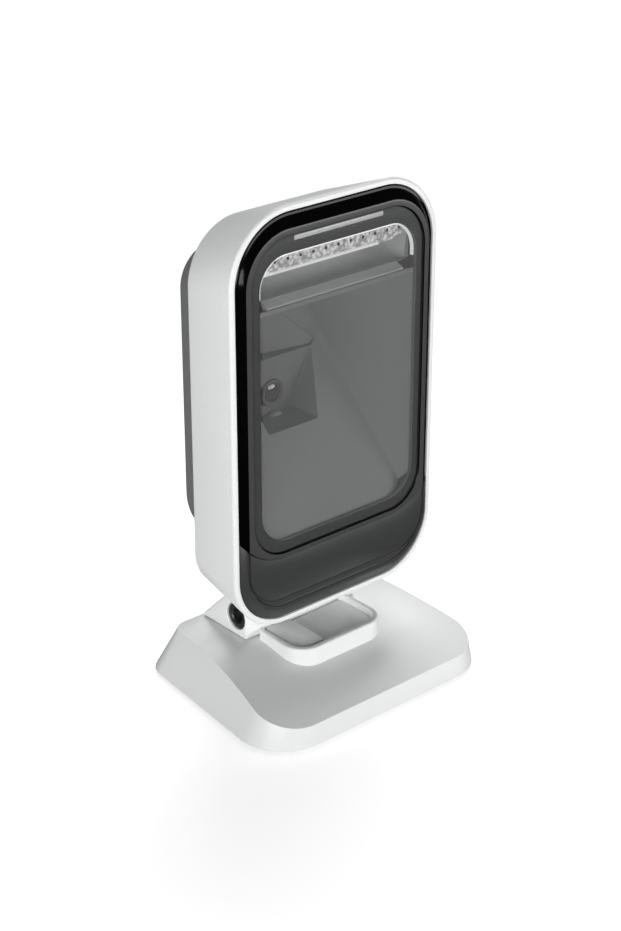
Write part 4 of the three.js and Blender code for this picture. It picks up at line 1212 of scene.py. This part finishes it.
def build_rear_cover():
    head = settings("head")
    form = cover_form()
    front = head.depth + GAP
    back = front + head.cover_depth
    inside = form.inward(COVER_WALL + COVER_TAPER)
    sections = [
        (inside.inward(COVER_ROUND / 2), back - COVER_WALL),
        (inside, back - COVER_ROUND),
        (form.inward(COVER_WALL), front),
        (form.inward(COVER_EDGE), front),
        (form, front + COVER_EDGE),
    ]
    rounding = list(quarter_round(COVER_ROUND, 10))
    sections += [(form.inward(COVER_TAPER + inset), back - along) for inset, along in reversed(rounding)]
    cover = to_object(capped_body(sections, FINE_STEPS), "rear_shell")
    deep = back - front
    mouth = [(COVER_WELL + wider, deep + past) for wider, past in in_mm(WELL_MOUTH)]
    profile = [(0, COVER_SEAT), (COVER_WELL, COVER_SEAT), *mouth, (0, deep + MM)]
    starts = [head_point(x, front, height) for x, height in COVER_SPOTS]
    bosses = [rod_body(BOSS_RADIUS, (0, 1, 0), start + BOSS_START, deep - BOSS_SHORT) for start in starts]
    wells = [turned_body(profile, (0, 1, 0), start) for start in starts]
    combine(cover, bosses, "UNION")
    combine(cover, wells, "DIFFERENCE")
    shifts = [SLOT_MIDDLE + (i - (SLOT_COUNT - 1) / 2) * SLOT_PITCH for i in range(SLOT_COUNT)]
    slots = [face_prism(sound_slot(), back - SLOT_DEPTH, back + MM, 6, x) for x in shifts]
    combine(cover, [*slots, head_box(*SOCKET_ROOM)], "DIFFERENCE")
    return dress(cover, cover_plastic(), "head", "cover_grey", "rear_cover")


def build_cover_screws():
    depth = settings("head").depth + GAP + COVER_SEAT + GAP
    for index, (x, height) in enumerate(COVER_SPOTS, 1):
        body = screw_body((0, -1, 0), head_point(x, depth, height), COVER_SCREW_LENGTH)
        finish = metal("dark_screw", (0.2, 0.2, 0.205, 1), 0.36)
        dress(to_object(body, f"shell_screw_{index}"), finish, "head", "steel", f"cover_screw_{index}")


# Front: bezel, panel, window

# How far each face stands out before the face plane
EDGE_LEAD = 0.4 * MM
PANEL_LEAD = 1.9 * MM
PLATEAU_LEAD = 2.2 * MM
EDGE_ROUND = 0.25 * MM
LIP_INSET = 0.9 * MM
LIP_NICK = 0.12 * MM
LIP_BED = 0.02 * MM
CREST_FALL = 0.12 * MM
CREST_NICK = 0.03 * MM
SEAT_CHAMFER = 0.15 * MM
RING_BACK = 0.2 * MM
FACING = -0.8
GLASS_LEDGE = 1.05 * MM
OPENING_MARGIN = 0.8 * MM
BAR_HEIGHT = 123 * MM
FAR = 4 * MM


def glass_form():
    return Form(settings("window").glass_width, 23.5 * MM, 124.3 * MM, 12 * MM, 14 * MM)


def clear_form():
    return Form(settings("window").clear_width, 27.4 * MM, 118.9 * MM, 10 * MM, 10 * MM)


def shoulder_form():
    return Form(83.5 * MM, 21.7 * MM, 131.8 * MM, 20 * MM, MM)


def bezel_plateau():
    form = bezel_form()
    return Form(form.width - 5.6 * MM, 2.8 * MM, form.top - 4.5 * MM, 15 * MM, 16 * MM)


def panel_plateau():
    form = bezel_form()
    return Form(form.width - 2.8 * MM, 3.6 * MM, form.top - 4.5 * MM, 15.7 * MM, 16 * MM)


def bar_box(margin, front, back):
    """A box round the status light, between two depths."""
    window = settings("window")
    half = window.bar_width / 2 + margin
    rise = window.bar_height / 2
    low, high = BAR_HEIGHT - rise - margin, BAR_HEIGHT + rise + margin
    return box_body(head_point(-half, front, low), head_point(half, back, high))


def finish_part(piece, material, test):
    """Gives the faces that pass a test a finish of their own."""
    index = len(piece.data.materials)
    piece.data.materials.append(material)
    for face in piece.data.polygons:
        if test(face):
            face.material_index = index


def build_bezel():
    form = bezel_form()
    lip = form.inward(LIP_INSET)
    plateau = bezel_plateau()
    seat = glass_form().inward(-GAP)
    opening = clear_form().inward(-OPENING_MARGIN)
    sections = [
        (form, BEZEL_THICKNESS),
        (form, EDGE_ROUND - EDGE_LEAD),
        (form.inward(EDGE_ROUND), -EDGE_LEAD),
        (lip, -EDGE_LEAD - LIP_NICK),
        (lip.inward(LIP_NICK), -EDGE_LEAD - LIP_BED),
        (plateau.inward(-EDGE_ROUND), CREST_FALL - PLATEAU_LEAD),
        (plateau, CREST_NICK - PLATEAU_LEAD),
        (plateau.inward(EDGE_ROUND), -PLATEAU_LEAD),
        (seat.inward(-SEAT_CHAMFER), -PLATEAU_LEAD),
        (seat, SEAT_CHAMFER - PLATEAU_LEAD),
        (seat, GLASS_LEDGE),
        (opening, GLASS_LEDGE),
        (opening, BEZEL_THICKNESS),
    ]
    bezel = to_object(ring_body(sections, FINE_STEPS), "bezel")
    combine(bezel, [face_prism(shoulder_form(), -FAR, FAR, FINE_STEPS)], "INTERSECT")
    combine(bezel, [bar_box(GAP, -FAR, FAR)], "DIFFERENCE")
    dress(bezel, bezel_gloss(), "head", "gloss_black", "front_bezel")
    # The bezel's front-facing faces round the glass take a lighter grey: painted reflection
    front = FACE_Y - PLATEAU_LEAD + RING_BACK
    finish_part(bezel, bezel_ring(), lambda face: face.normal.y < FACING and face.center.y < front)
    return bezel


GROOVE_BED = 0.5 * MM - PANEL_LEAD
OUTER_GROOVE_INSET = 1.1 * MM
OUTER_GROOVE_WIDTH = 0.6 * MM
INNER_GROOVE_WIDTH = 0.7 * MM
CREST_ROUND = 0.2 * MM
GROOVE_ROUND = 0.12 * MM


def build_panel():
    form = bezel_form()
    plateau = panel_plateau()
    sections = [
        (form, BEZEL_THICKNESS),
        (form, EDGE_ROUND - EDGE_LEAD),
        (form.inward(EDGE_ROUND), -EDGE_LEAD),
        (plateau.inward(-CREST_ROUND), 0.1 * MM - PANEL_LEAD),
        (plateau, 0.02 * MM - PANEL_LEAD),
        (plateau.inward(CREST_ROUND), -PANEL_LEAD),
    ]
    panel = to_object(capped_body(sections, FINE_STEPS), "panel")
    above = face_prism(shoulder_form().inward(-GAP), -FAR, FAR, FINE_STEPS)
    combine(panel, [above], "DIFFERENCE")
    groove = Form(73.9 * MM, 7.2 * MM, form.top - 4.5 * MM, 13.2 * MM, 13.2 * MM)
    grooves = ((groove, INNER_GROOVE_WIDTH), (plateau.inward(OUTER_GROOVE_INSET), OUTER_GROOVE_WIDTH))
    for outer, width in grooves:
        inner = outer.inward(width)
        line = [(outer, -FAR), (outer, GROOVE_BED), (inner, GROOVE_BED), (inner, -FAR)]
        combine(panel, [ring_body(line, FINE_STEPS)], "DIFFERENCE")
    soften(panel, GROOVE_ROUND, 2, 40)
    return dress(panel, panel_plastic(), "head", "panel_grey", "lower_panel")


GLASS_EDGE = 0.2 * MM
GLASS_EDGE_SHARE = 0.3
GLASS_THICKNESS = 0.8 * MM
# VEIL_AREA and VEIL_BACK pick the clear part's front face, which takes the painted reflection veil
VEIL_AREA = (40 * MM) ** 2
VEIL_BACK = 0.05 * MM
MASK_FRONT = -1.35 * MM
MASK_BACK = MASK_FRONT + 0.3 * MM
BAR_FRONT = -1.32 * MM
BAR_BACK = 5.6 * MM
BAR_ROUND = 0.2 * MM


def build_window():
    """The plate with its painted reflection veil over the clear part, the printed border and the status
    light.
    """
    glass = glass_form()
    part = GLASS_EDGE_SHARE * GLASS_EDGE
    sections = [
        (clear_form(), -PLATEAU_LEAD),
        (glass.inward(GLASS_EDGE), -PLATEAU_LEAD),
        (glass.inward(part), part - PLATEAU_LEAD),
        (glass, GLASS_EDGE - PLATEAU_LEAD),
        (glass, GLASS_THICKNESS - PLATEAU_LEAD),
    ]
    plate = to_object(capped_body(sections, FINE_STEPS), "window_plate")
    dress(plate, clear_glass(), "head", "window", "window_glass")
    front = FACE_Y - PLATEAU_LEAD + VEIL_BACK
    finish_part(plate, painted_reflection_glass(), lambda face: face.center.y < front and face.area > VEIL_AREA)
    clear = clear_form()
    corners = [(glass, MASK_FRONT), (glass, MASK_BACK), (clear, MASK_BACK), (clear, MASK_FRONT)]
    mask = to_object(ring_body(corners, FINE_STEPS), "printed_border")
    combine(mask, [bar_box(0, -FAR, FAR)], "DIFFERENCE")
    dress(mask, mask_ink(), "head", "mask_grey", "window_mask")
    bar = to_object(bar_box(0, BAR_FRONT, BAR_BACK), "status_bar")
    soften(bar, BAR_ROUND)
    dress(bar, light_guide(), "head", "light_guide", "status_light_bar")


LAMP_HEIGHT = 115.9 * MM
LAMP_RADIUS = 0.55 * MM
LAMP_LENGTH = 1.3 * MM
STRIP_LOW = 112.3 * MM
STRIP_THICKNESS = 1.2 * MM
CELL_RISE = 0.6 * MM
STRIP_ROOT = 0.3 * MM
LIP_RISE = 0.7 * MM
LIP_LEFT = -27 * MM
LIP_RIGHT = 18.6 * MM
LIP_LOW = STRIP_LOW - 0.1 * MM
LIP_HIGH = STRIP_LOW + 0.6 * MM
RIB_OUTER = 0.05 * MM
RIB_INNER = 0.6 * MM
RIB_FRONT = -0.95 * MM
RIB_BACK = 0.1 * MM
# Two corners (x, depth, height) of the part of the opening that the rib follows, in millimetres
RIB_ROOM = [(-40, -4, 106.9), (40, 4, 125)]
# Where the painted shade in the lamps' holes, and the painted highlight on the rib and the lip, end
NEAR_LAMP = 0.56 * MM
LAMP_FRONT = FACE_SEAT - 0.55 * MM
NEAR_RIB = 0.15 * MM
NEAR_LIP = STRIP_LOW + 0.62 * MM


def rib_body():
    """A thin white edge that follows the upper part of the clear opening."""
    outer, inner = clear_form().inward(RIB_OUTER), clear_form().inward(RIB_INNER)
    corners = [(outer, RIB_FRONT), (inner, RIB_FRONT), (inner, RIB_BACK), (outer, RIB_BACK)]
    rib = to_object(ring_body(corners, FINE_STEPS), "rib")
    combine(rib, [head_box(*RIB_ROOM)], "INTERSECT")
    return take_mesh(rib)


def build_lamps():
    """The white lamp strip: a cell over each lamp, a lip below and an edge along the opening."""
    count, pitch = settings("window").lamp_count, settings("window").lamp_pitch
    form = Form(56.6 * MM, STRIP_LOW, 120.4 * MM, 4.6 * MM, 0.6 * MM)
    cell = Form(pitch - 0.5 * MM, STRIP_LOW + 1.3 * MM, 117.6 * MM, 1.2 * MM, 0.6 * MM)
    strip = to_object(face_prism(form, FACE_SEAT, FACE_SEAT + STRIP_THICKNESS, 12), "lamp_strip")
    raised, holes = [], []
    for index in range(count):
        x = (index - (count - 1) / 2) * pitch
        raised.append(face_prism(cell, FACE_SEAT - CELL_RISE, FACE_SEAT + STRIP_ROOT, 6, x))
        start = head_point(x, FACE_SEAT - MM, LAMP_HEIGHT)
        holes.append(rod_body(LAMP_RADIUS, (0, 1, 0), start, LAMP_LENGTH, 16))
    low = head_point(LIP_LEFT, FACE_SEAT - LIP_RISE, LIP_LOW)
    high = head_point(LIP_RIGHT, FACE_SEAT + STRIP_ROOT, LIP_HIGH)
    combine(strip, [*raised, box_body(low, high), rib_body()], "UNION")
    combine(strip, holes, "DIFFERENCE")
    dress(strip, lamp_white(), "head", "board_white", "illumination_board")

    # Faces inside each lamp's hole take dark plastic: painted shade
    def in_shaded_lamp_hole(face):
        offset = (face.center.x / pitch + count / 2) % 1 - 0.5
        beside = math.hypot(offset * pitch, face.center.z - FACE_Z - LAMP_HEIGHT)
        return beside < NEAR_LAMP and face.center.y > FACE_Y + LAMP_FRONT

    # Faces of the lip and the rib, which take the painted highlight
    def on_edge(face):
        beside = face.center.y < FACE_Y + NEAR_RIB or face.center.z < FACE_Z + NEAR_LIP
        return beside and not in_shaded_lamp_hole(face)

    finish_part(strip, dark_plastic(), in_shaded_lamp_hole)
    finish_part(strip, edge_white(), on_edge)


TROUGH_HALF = 27 * MM
TROUGH_ROUND = 5 * MM
TROUGH_WALL = 1.2 * MM
# Depth and height of the points that bend the trough's curve, in millimetres
TROUGH_FRONT = (3.7, 103.6)
TROUGH_TURN = (11.26, 97.6)
TROUGH_BACK = (16.3, 110.6)
TROUGH_STEPS = 24
TROUGH_LEAST_RISE = 0.2
END_WALL = 1.5 * MM
END_OVERLAP = 0.8 * MM
END_TOP = 118.4 * MM
# Depth and height of the lip along the trough's front edge, in millimetres
TROUGH_LIP = [(-0.3, 102.8), (2.2, 102.8), (2.2, 103.3), (3.75, 103.62), (2.65, 104.7), (-0.3, 103.45)]


def trough_curve(rise):
    """Points (depth, height) from the trough's front edge to its back; the rise grows to the back."""
    points = []
    for step in range(TROUGH_STEPS + 1):
        t = step / TROUGH_STEPS
        depth, height = [
            (a + 2 * (b - a) * t * (1 - t) + (c - a) * t * t) * MM
            for a, b, c in zip(TROUGH_FRONT, TROUGH_TURN, TROUGH_BACK)
        ]
        share = TROUGH_LEAST_RISE + (1 - TROUGH_LEAST_RISE) * t
        points.append(Vector((depth, height + rise * share)))
    return points


def side_prism(outline, start, width):
    """An outline of (depth, height) in the head, between start and start + width."""
    return prism_body([head_point(start, depth, height) for depth, height in outline], (width, 0, 0))


def build_light_lens():
    """The clear trough under the lamps, rounded up into its end walls."""
    turns = [QUARTER * step / 8 for step in range(9)]
    right = [(TROUGH_HALF + TROUGH_ROUND * math.sin(a), TROUGH_ROUND * (1 - math.cos(a))) for a in turns]
    thickness = Vector((-TROUGH_WALL, TROUGH_WALL))
    loops = []
    for x, rise in [(-x, rise) for x, rise in reversed(right)] + right:
        curve = trough_curve(rise)
        outline = curve + [point + thickness for point in reversed(curve)]
        loops.append([head_point(x, point.x, point.y) for point in outline])
    lens = to_object(skin(loops), "light_trough")
    start = TROUGH_HALF + TROUGH_ROUND - END_OVERLAP
    curve = trough_curve(TROUGH_ROUND)
    outline = [point + thickness / 3 for point in curve[1:-1]]
    outline += [(curve[-1].x, END_TOP), (curve[0].x - TROUGH_WALL, END_TOP)]
    walls = [side_prism(outline, side * start, side * END_WALL) for side in (-1, 1)]
    lip = side_prism(in_mm(TROUGH_LIP), -TROUGH_HALF, 2 * TROUGH_HALF)
    combine(lens, [*walls, lip], "UNION")
    dress(lens, trough_plastic(), "head", "light_guide", "illumination_lens")


FUNNEL_START = -0.9 * MM
FUNNEL_DEPTH = 29.5 * MM
FUNNEL_WALL = MM
FUNNEL_ROUND = 0.8 * MM
ROOM_ROUND = 0.5 * MM
# Half width, lower and upper height of the funnel at the face plane, and how they change over its
# depth, in millimetres
FUNNEL_FRONT = (30.1, 27.2, 101.6)
FUNNEL_CHANGE = (-17.6, 61.3, -9.1)
# Corners (x, height, depth) of the rooms in the funnel's floor and of the boxes round them, in millimetres
CAMERA_ROOM = [(-15.3, 55.2, 26), (4.8, 55.2, 26), (10.4, 75.5, 23.2), (-20.9, 75.5, 23.2)]
CAMERA_BOX = [(-16.5, 54.2, 27), (6, 54.2, 27), (11.8, 76.5, 27), (-22, 76.5, 27)]
HOOD_ROOM = [(-10, 75.5, 28.4), (10.4, 75.5, 24.4), (12.3, 77.1, 24.4), (0.2, 89, 29.9), (-10, 84, 30.6)]
HOOD_BOX = [(-11, 74.5, 31.4), (11.5, 74.5, 31.4), (13.8, 77.1, 31.4), (0.4, 90.2, 31.4), (-11, 85, 31.4)]
CAMERA_BOX_FRONT = 13 * MM
HOOD_BOX_FRONT = 20 * MM
CAMERA_X = -5 * MM
CAMERA_HEIGHT = 63 * MM
BORE_RADIUS = 4.7 * MM
BORE_LENGTH = 16 * MM


def funnel_body(start, end, spread=0):
    """The funnel between two depths behind the face plane."""
    loops = []
    for depth in (start, end):
        share = depth / FUNNEL_DEPTH
        half, low, high = [(a + b * share) * MM for a, b in zip(FUNNEL_FRONT, FUNNEL_CHANGE)]
        half, low, high = half + spread, low - spread, high + spread
        corners = [(-half, low), (half, low), (half, high), (-half, high)]
        loops.append([head_point(x, depth, height) for x, height in corners])
    return skin(loops)


def room_body(corners, front):
    """A room with a flat front at a depth and a slanted back."""
    corners = in_mm(corners)
    near = [head_point(x, front, height) for x, height, _ in corners]
    far = [head_point(x, depth, height) for x, height, depth in corners]
    return skin([near, far])


def funnel_limit():
    """What the funnel may fill: the window's opening, and more room behind the bezel."""
    snout, wide = clear_form().inward(-0.5 * MM), clear_form().inward(-8 * MM)
    return capped_body([(snout, -MM), (snout, FACE_SEAT), (wide, FACE_SEAT), (wide, 40 * MM)])


def build_baffle():
    """The funnel behind the window, with the camera's room in its floor."""
    flange = Form(66 * MM, 24.2 * MM, 103.2 * MM, 8 * MM, 8 * MM)
    outside = [
        face_prism(flange, FACE_SEAT - 0.2 * MM, FACE_SEAT + 1.6 * MM),
        room_body(CAMERA_BOX, CAMERA_BOX_FRONT),
        room_body(HOOD_BOX, HOOD_BOX_FRONT),
    ]
    baffle = to_object(funnel_body(FUNNEL_START, FUNNEL_DEPTH + FUNNEL_WALL, FUNNEL_WALL), "funnel")
    combine(baffle, outside, "UNION")
    combine(baffle, [funnel_limit()], "INTERSECT")
    bore_start = head_point(CAMERA_X, CAMERA_BOX_FRONT, CAMERA_HEIGHT)
    rooms = [
        softened(funnel_body(-MM, FUNNEL_DEPTH), FUNNEL_ROUND, 4),
        softened(room_body(CAMERA_ROOM, FACE_SEAT), ROOM_ROUND, 3),
        room_body(HOOD_ROOM, FACE_SEAT),
        rod_body(BORE_RADIUS, (0, 1, 0), bore_start, BORE_LENGTH),
    ]
    combine(baffle, rooms, "DIFFERENCE")
    dress(baffle, baffle_plastic(), "head", "baffle_grey", "optical_baffle")


AIMER_SIZE = (2.5 * MM, 1.5 * MM, 1.2 * MM)
AIMER_LOW = Vector((-3 * MM, -2 * MM, 0.05 * MM))
AIMER_HIGH = Vector((3 * MM, 2 * MM, 2 * MM))


def build_aimer():
    """A small clear lens at the foot of the camera's room."""
    centre = head_point(-3.4 * MM, 24.6 * MM, 55.2 * MM)
    place = Matrix.Translation(centre) @ Matrix.Diagonal((*AIMER_SIZE, 1))
    bm = bmesh.new()
    bmesh.ops.create_uvsphere(bm, u_segments=24, v_segments=12, radius=1, matrix=place)
    lens = to_object(bm, "aimer_lens")
    combine(lens, [box_body(centre + AIMER_LOW, centre + AIMER_HIGH)], "INTERSECT")
    dress(lens, light_guide(), "head", "light_guide")


# Radius and depth of the barrel and of its lens, in millimetres
BARREL = [
    (3.1, 29.3), (5.6, 29.3), (5.6, 27.7), (4.4, 27.7), (4.4, 23.9), (4.2, 23.6), (3.9, 23.5),
    (3.5, 23.6), (3.1, 24), (3.1, 29.3),
]
FRONT_LENS = [(0, 24), (1.2, 24.05), (2.2, 24.25), (2.8, 24.5), (2.8, 25.6), (0, 25.6)]


def build_camera():
    centre = head_point(CAMERA_X, 0, CAMERA_HEIGHT)
    barrel = to_object(turned_body(in_mm(BARREL), (0, 1, 0), centre), "barrel")
    dress(barrel, barrel_plastic(), "head", "black_plastic", "lens_barrel")
    lens = to_object(turned_body(in_mm(FRONT_LENS), (0, 1, 0), centre), "front_lens")
    dress(lens, lens_coating(), "head", "window", "lens_glass")


def dress_frame_nodes():
    """Finishes of the frame's own nodes that stay in view."""
    steel = (
        "yoke_screw_1", "yoke_screw_2", "axle_nut", "friction_washer_left", "friction_washer_right",
        "foot_screw_1", "foot_screw_2", "camera_bracket", "processor_shield",
    )
    finishes = {
        "ballast_weight": metal("cast_weight", (0.2, 0.2, 0.2, 1), 0.5),
        **dict.fromkeys(steel, metal()),
        "window_gasket": rubber(),
        **dict.fromkeys(("camera_board", "main_board"), circuit_board()),
        **dict.fromkeys(("image_sensor", "beeper", "cable_socket"), dark_plastic()),
    }
    for name, material in finishes.items():
        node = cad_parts[name]
        if not node.material_slots:
            node.data.materials.append(material)
        for slot in node.material_slots:
            slot.material = material


# Stage

STAGE_LAMPS = {
    "key": ((0.45, 0.4, 0.75), (0.5, 0.5)),
    "left": ((-0.86, -0.5, 0.15), (0.8, 0.3)),
    "right": ((0.6, -0.8, 0.15), (0.8, 0.3)),
}
STAGE_MIDDLE = (0, 0, 0.07)
FLOOR_HALF = 3
FADE_START = 0.12
FADE_END = 0.4
SENSOR_WIDTH = 36


def add_shader(tree, kind, brightness, strength=None):
    """The output of a grey shader."""
    shader = tree.nodes.new(kind)
    shader.inputs["Color"].default_value = grey(brightness)
    if strength is not None:
        shader.inputs["Strength"].default_value = strength
    return shader.outputs[0]


def mix_shaders(tree, factor, first, second):
    """The output of a mix: the first shader at 0, the second at 1."""
    mix = tree.nodes.new("ShaderNodeMixShader")
    tree.links.new(factor, mix.inputs["Fac"])
    tree.links.new(first, mix.inputs[1])
    tree.links.new(second, mix.inputs[2])
    return mix.outputs[0]


def floor_finish():
    """White to the camera, grey to mirrors, clear from below, and without an edge far off."""
    material = bpy.data.materials.new("floor_white")
    material.use_nodes = True
    tree = material.node_tree
    tree.nodes.clear()
    path = tree.nodes.new("ShaderNodeLightPath").outputs
    matt = add_shader(tree, "ShaderNodeBsdfDiffuse", 0.8)
    dim = add_shader(tree, "ShaderNodeBsdfDiffuse", 0.03)
    lit = mix_shaders(tree, path["Is Glossy Ray"], matt, dim)
    shown = tree.nodes.new("ShaderNodeAddShader")
    tree.links.new(add_shader(tree, "ShaderNodeEmission", 1, 0.7), shown.inputs[0])
    tree.links.new(add_shader(tree, "ShaderNodeBsdfDiffuse", 0.7), shown.inputs[1])
    distance = tree.nodes.new("ShaderNodeVectorMath")
    distance.operation = "LENGTH"
    tree.links.new(object_place(tree), distance.inputs[0])
    white = add_shader(tree, "ShaderNodeEmission", 1)
    fade = add_ramp(tree, distance.outputs["Value"], grey(0), grey(1), FADE_START, FADE_END)
    faded = mix_shaders(tree, fade, shown.outputs[0], white)
    seen = mix_shaders(tree, path["Is Camera Ray"], lit, faded)
    below = tree.nodes.new("ShaderNodeNewGeometry").outputs["Backfacing"]
    clear = tree.nodes.new("ShaderNodeBsdfTransparent").outputs[0]
    output = tree.nodes.new("ShaderNodeOutputMaterial")
    tree.links.new(mix_shaders(tree, below, seen, clear), output.inputs["Surface"])
    return material


def build_floor():
    bm = bmesh.new()
    bmesh.ops.create_grid(bm, x_segments=1, y_segments=1, size=FLOOR_HALF)
    floor = to_object(bm, "floor")
    floor.data.materials.append(floor_finish())


def build_world():
    """White to the camera, and a weak even light on the object."""
    world = bpy.data.worlds.new("studio")
    world.use_nodes = True
    tree = world.node_tree
    tree.nodes.clear()
    path = tree.nodes.new("ShaderNodeLightPath").outputs
    even = add_shader(tree, "ShaderNodeBackground", 1, settings("stage").sky)
    white = add_shader(tree, "ShaderNodeBackground", 1, 1)
    output = tree.nodes.new("ShaderNodeOutputWorld")
    tree.links.new(mix_shaders(tree, path["Is Camera Ray"], even, white), output.inputs["Surface"])
    bpy.context.scene.world = world


def aim(thing, place, target):
    """Stands a lamp or the camera at a place, turned to a target."""
    thing.location = place
    thing.rotation_euler = (Vector(target) - Vector(place)).to_track_quat("-Z", "Y").to_euler()


def build_stage_lamps():
    for name, (place, size) in STAGE_LAMPS.items():
        data = bpy.data.lights.new(name, "AREA")
        data.shape = "RECTANGLE"
        data.size, data.size_y = size
        data.energy = getattr(settings("stage"), name + "_power")
        lamp = bpy.data.objects.new(name, data)
        bpy.context.scene.collection.objects.link(lamp)
        aim(lamp, place, STAGE_MIDDLE)


def build_camera_view():
    stage = settings("stage")
    data = bpy.data.cameras.new("photo_view")
    data.lens = stage.lens
    data.sensor_width = SENSOR_WIDTH
    data.sensor_fit = "AUTO"
    camera = bpy.data.objects.new("photo_view", data)
    bpy.context.scene.collection.objects.link(camera)
    aim(camera, stage.camera_place, stage.camera_aim)
    bpy.context.scene.camera = camera


def set_colours():
    """Shows the light as it is, with no change of contrast."""
    bpy.context.scene.view_settings.view_transform = "Standard"


# Operators


class BuildStep(bpy.types.Operator):
    """Base of the operators, which runs the steps of each in order"""

    bl_options = {"REGISTER", "UNDO"}
    steps = ()

    def execute(self, context):
        for step in self.steps:
            step()
        return {"FINISHED"}


class SCANNER_OT_foot(BuildStep):
    """Builds the foot cover, its plate, its pads and its screws"""

    bl_idname = "scanner.foot"
    bl_label = "Foot"
    steps = (build_base_cover, build_base_plate, build_rubber_feet, build_base_screws)


class SCANNER_OT_hinge(BuildStep):
    """Builds the yoke, its bushes, the axle and the head's foot"""

    bl_idname = "scanner.hinge"
    bl_label = "Hinge"
    steps = (build_yoke, build_hinge_trim, build_head_foot)


class SCANNER_OT_housing(BuildStep):
    """Builds the housing"""

    bl_idname = "scanner.housing"
    bl_label = "Housing"
    steps = (build_housing,)


class SCANNER_OT_rear_cover(BuildStep):
    """Builds the rear cover and its screws"""

    bl_idname = "scanner.rear_cover"
    bl_label = "Rear Cover"
    steps = (build_rear_cover, build_cover_screws)


class SCANNER_OT_front(BuildStep):
    """Builds the bezel and the lower panel"""

    bl_idname = "scanner.front"
    bl_label = "Bezel and Panel"
    steps = (build_bezel, build_panel)


class SCANNER_OT_window(BuildStep):
    """Builds the window plate, its border and the status light"""

    bl_idname = "scanner.window"
    bl_label = "Window"
    steps = (build_window,)


class SCANNER_OT_optics(BuildStep):
    """Builds the lamps, their lens and the camera"""

    bl_idname = "scanner.optics"
    bl_label = "Optics"
    steps = (build_lamps, build_light_lens, build_baffle, build_camera, build_aimer)


class SCANNER_OT_frame_finishes(BuildStep):
    """Gives the frame's own nodes their finishes"""

    bl_idname = "scanner.frame_finishes"
    bl_label = "Frame Finishes"
    steps = (dress_frame_nodes,)


class SCANNER_OT_stage(BuildStep):
    """Builds the floor, the light and the camera"""

    bl_idname = "scanner.stage"
    bl_label = "Stage"
    steps = (build_floor, build_world, build_stage_lamps, build_camera_view, set_colours)


class SCANNER_PT_panel(bpy.types.Panel):
    """Lists the settings and the steps"""

    bl_idname = "SCANNER_PT_panel"
    bl_label = "Desktop Barcode Scanner"
    bl_space_type = "VIEW_3D"
    bl_region_type = "UI"
    bl_category = "Scanner"

    def draw(self, context):
        layout = self.layout
        for group, kind in GROUPS.items():
            box = layout.box()
            box.label(text=group.title())
            for name in kind.__annotations__:
                box.prop(getattr(context.scene, "scanner_" + group), name)
        for step in STEPS:
            layout.operator(step.bl_idname)


GROUPS = {
    "foot": FootSettings,
    "head": HeadSettings,
    "window": WindowSettings,
    "hinge": HingeSettings,
    "finish": FinishSettings,
    "stage": StageSettings,
}
STEPS = (
    SCANNER_OT_foot,
    SCANNER_OT_hinge,
    SCANNER_OT_housing,
    SCANNER_OT_rear_cover,
    SCANNER_OT_front,
    SCANNER_OT_window,
    SCANNER_OT_optics,
    SCANNER_OT_frame_finishes,
    SCANNER_OT_stage,
)


def register():
    for kind in (*GROUPS.values(), *STEPS, SCANNER_PT_panel):
        bpy.utils.register_class(kind)
    for group, kind in GROUPS.items():
        setattr(bpy.types.Scene, "scanner_" + group, PointerProperty(type=kind))


def unregister():
    for group in GROUPS:
        delattr(bpy.types.Scene, "scanner_" + group)
    for kind in reversed((*GROUPS.values(), *STEPS, SCANNER_PT_panel)):
        bpy.utils.unregister_class(kind)


def main():
    register()
    bpy.ops.scanner.foot()
    bpy.ops.scanner.hinge()
    bpy.ops.scanner.housing()
    bpy.ops.scanner.rear_cover()
    bpy.ops.scanner.front()
    bpy.ops.scanner.window()
    bpy.ops.scanner.optics()
    bpy.ops.scanner.frame_finishes()
    bpy.ops.scanner.stage()


if __name__ == "__main__":
    main()
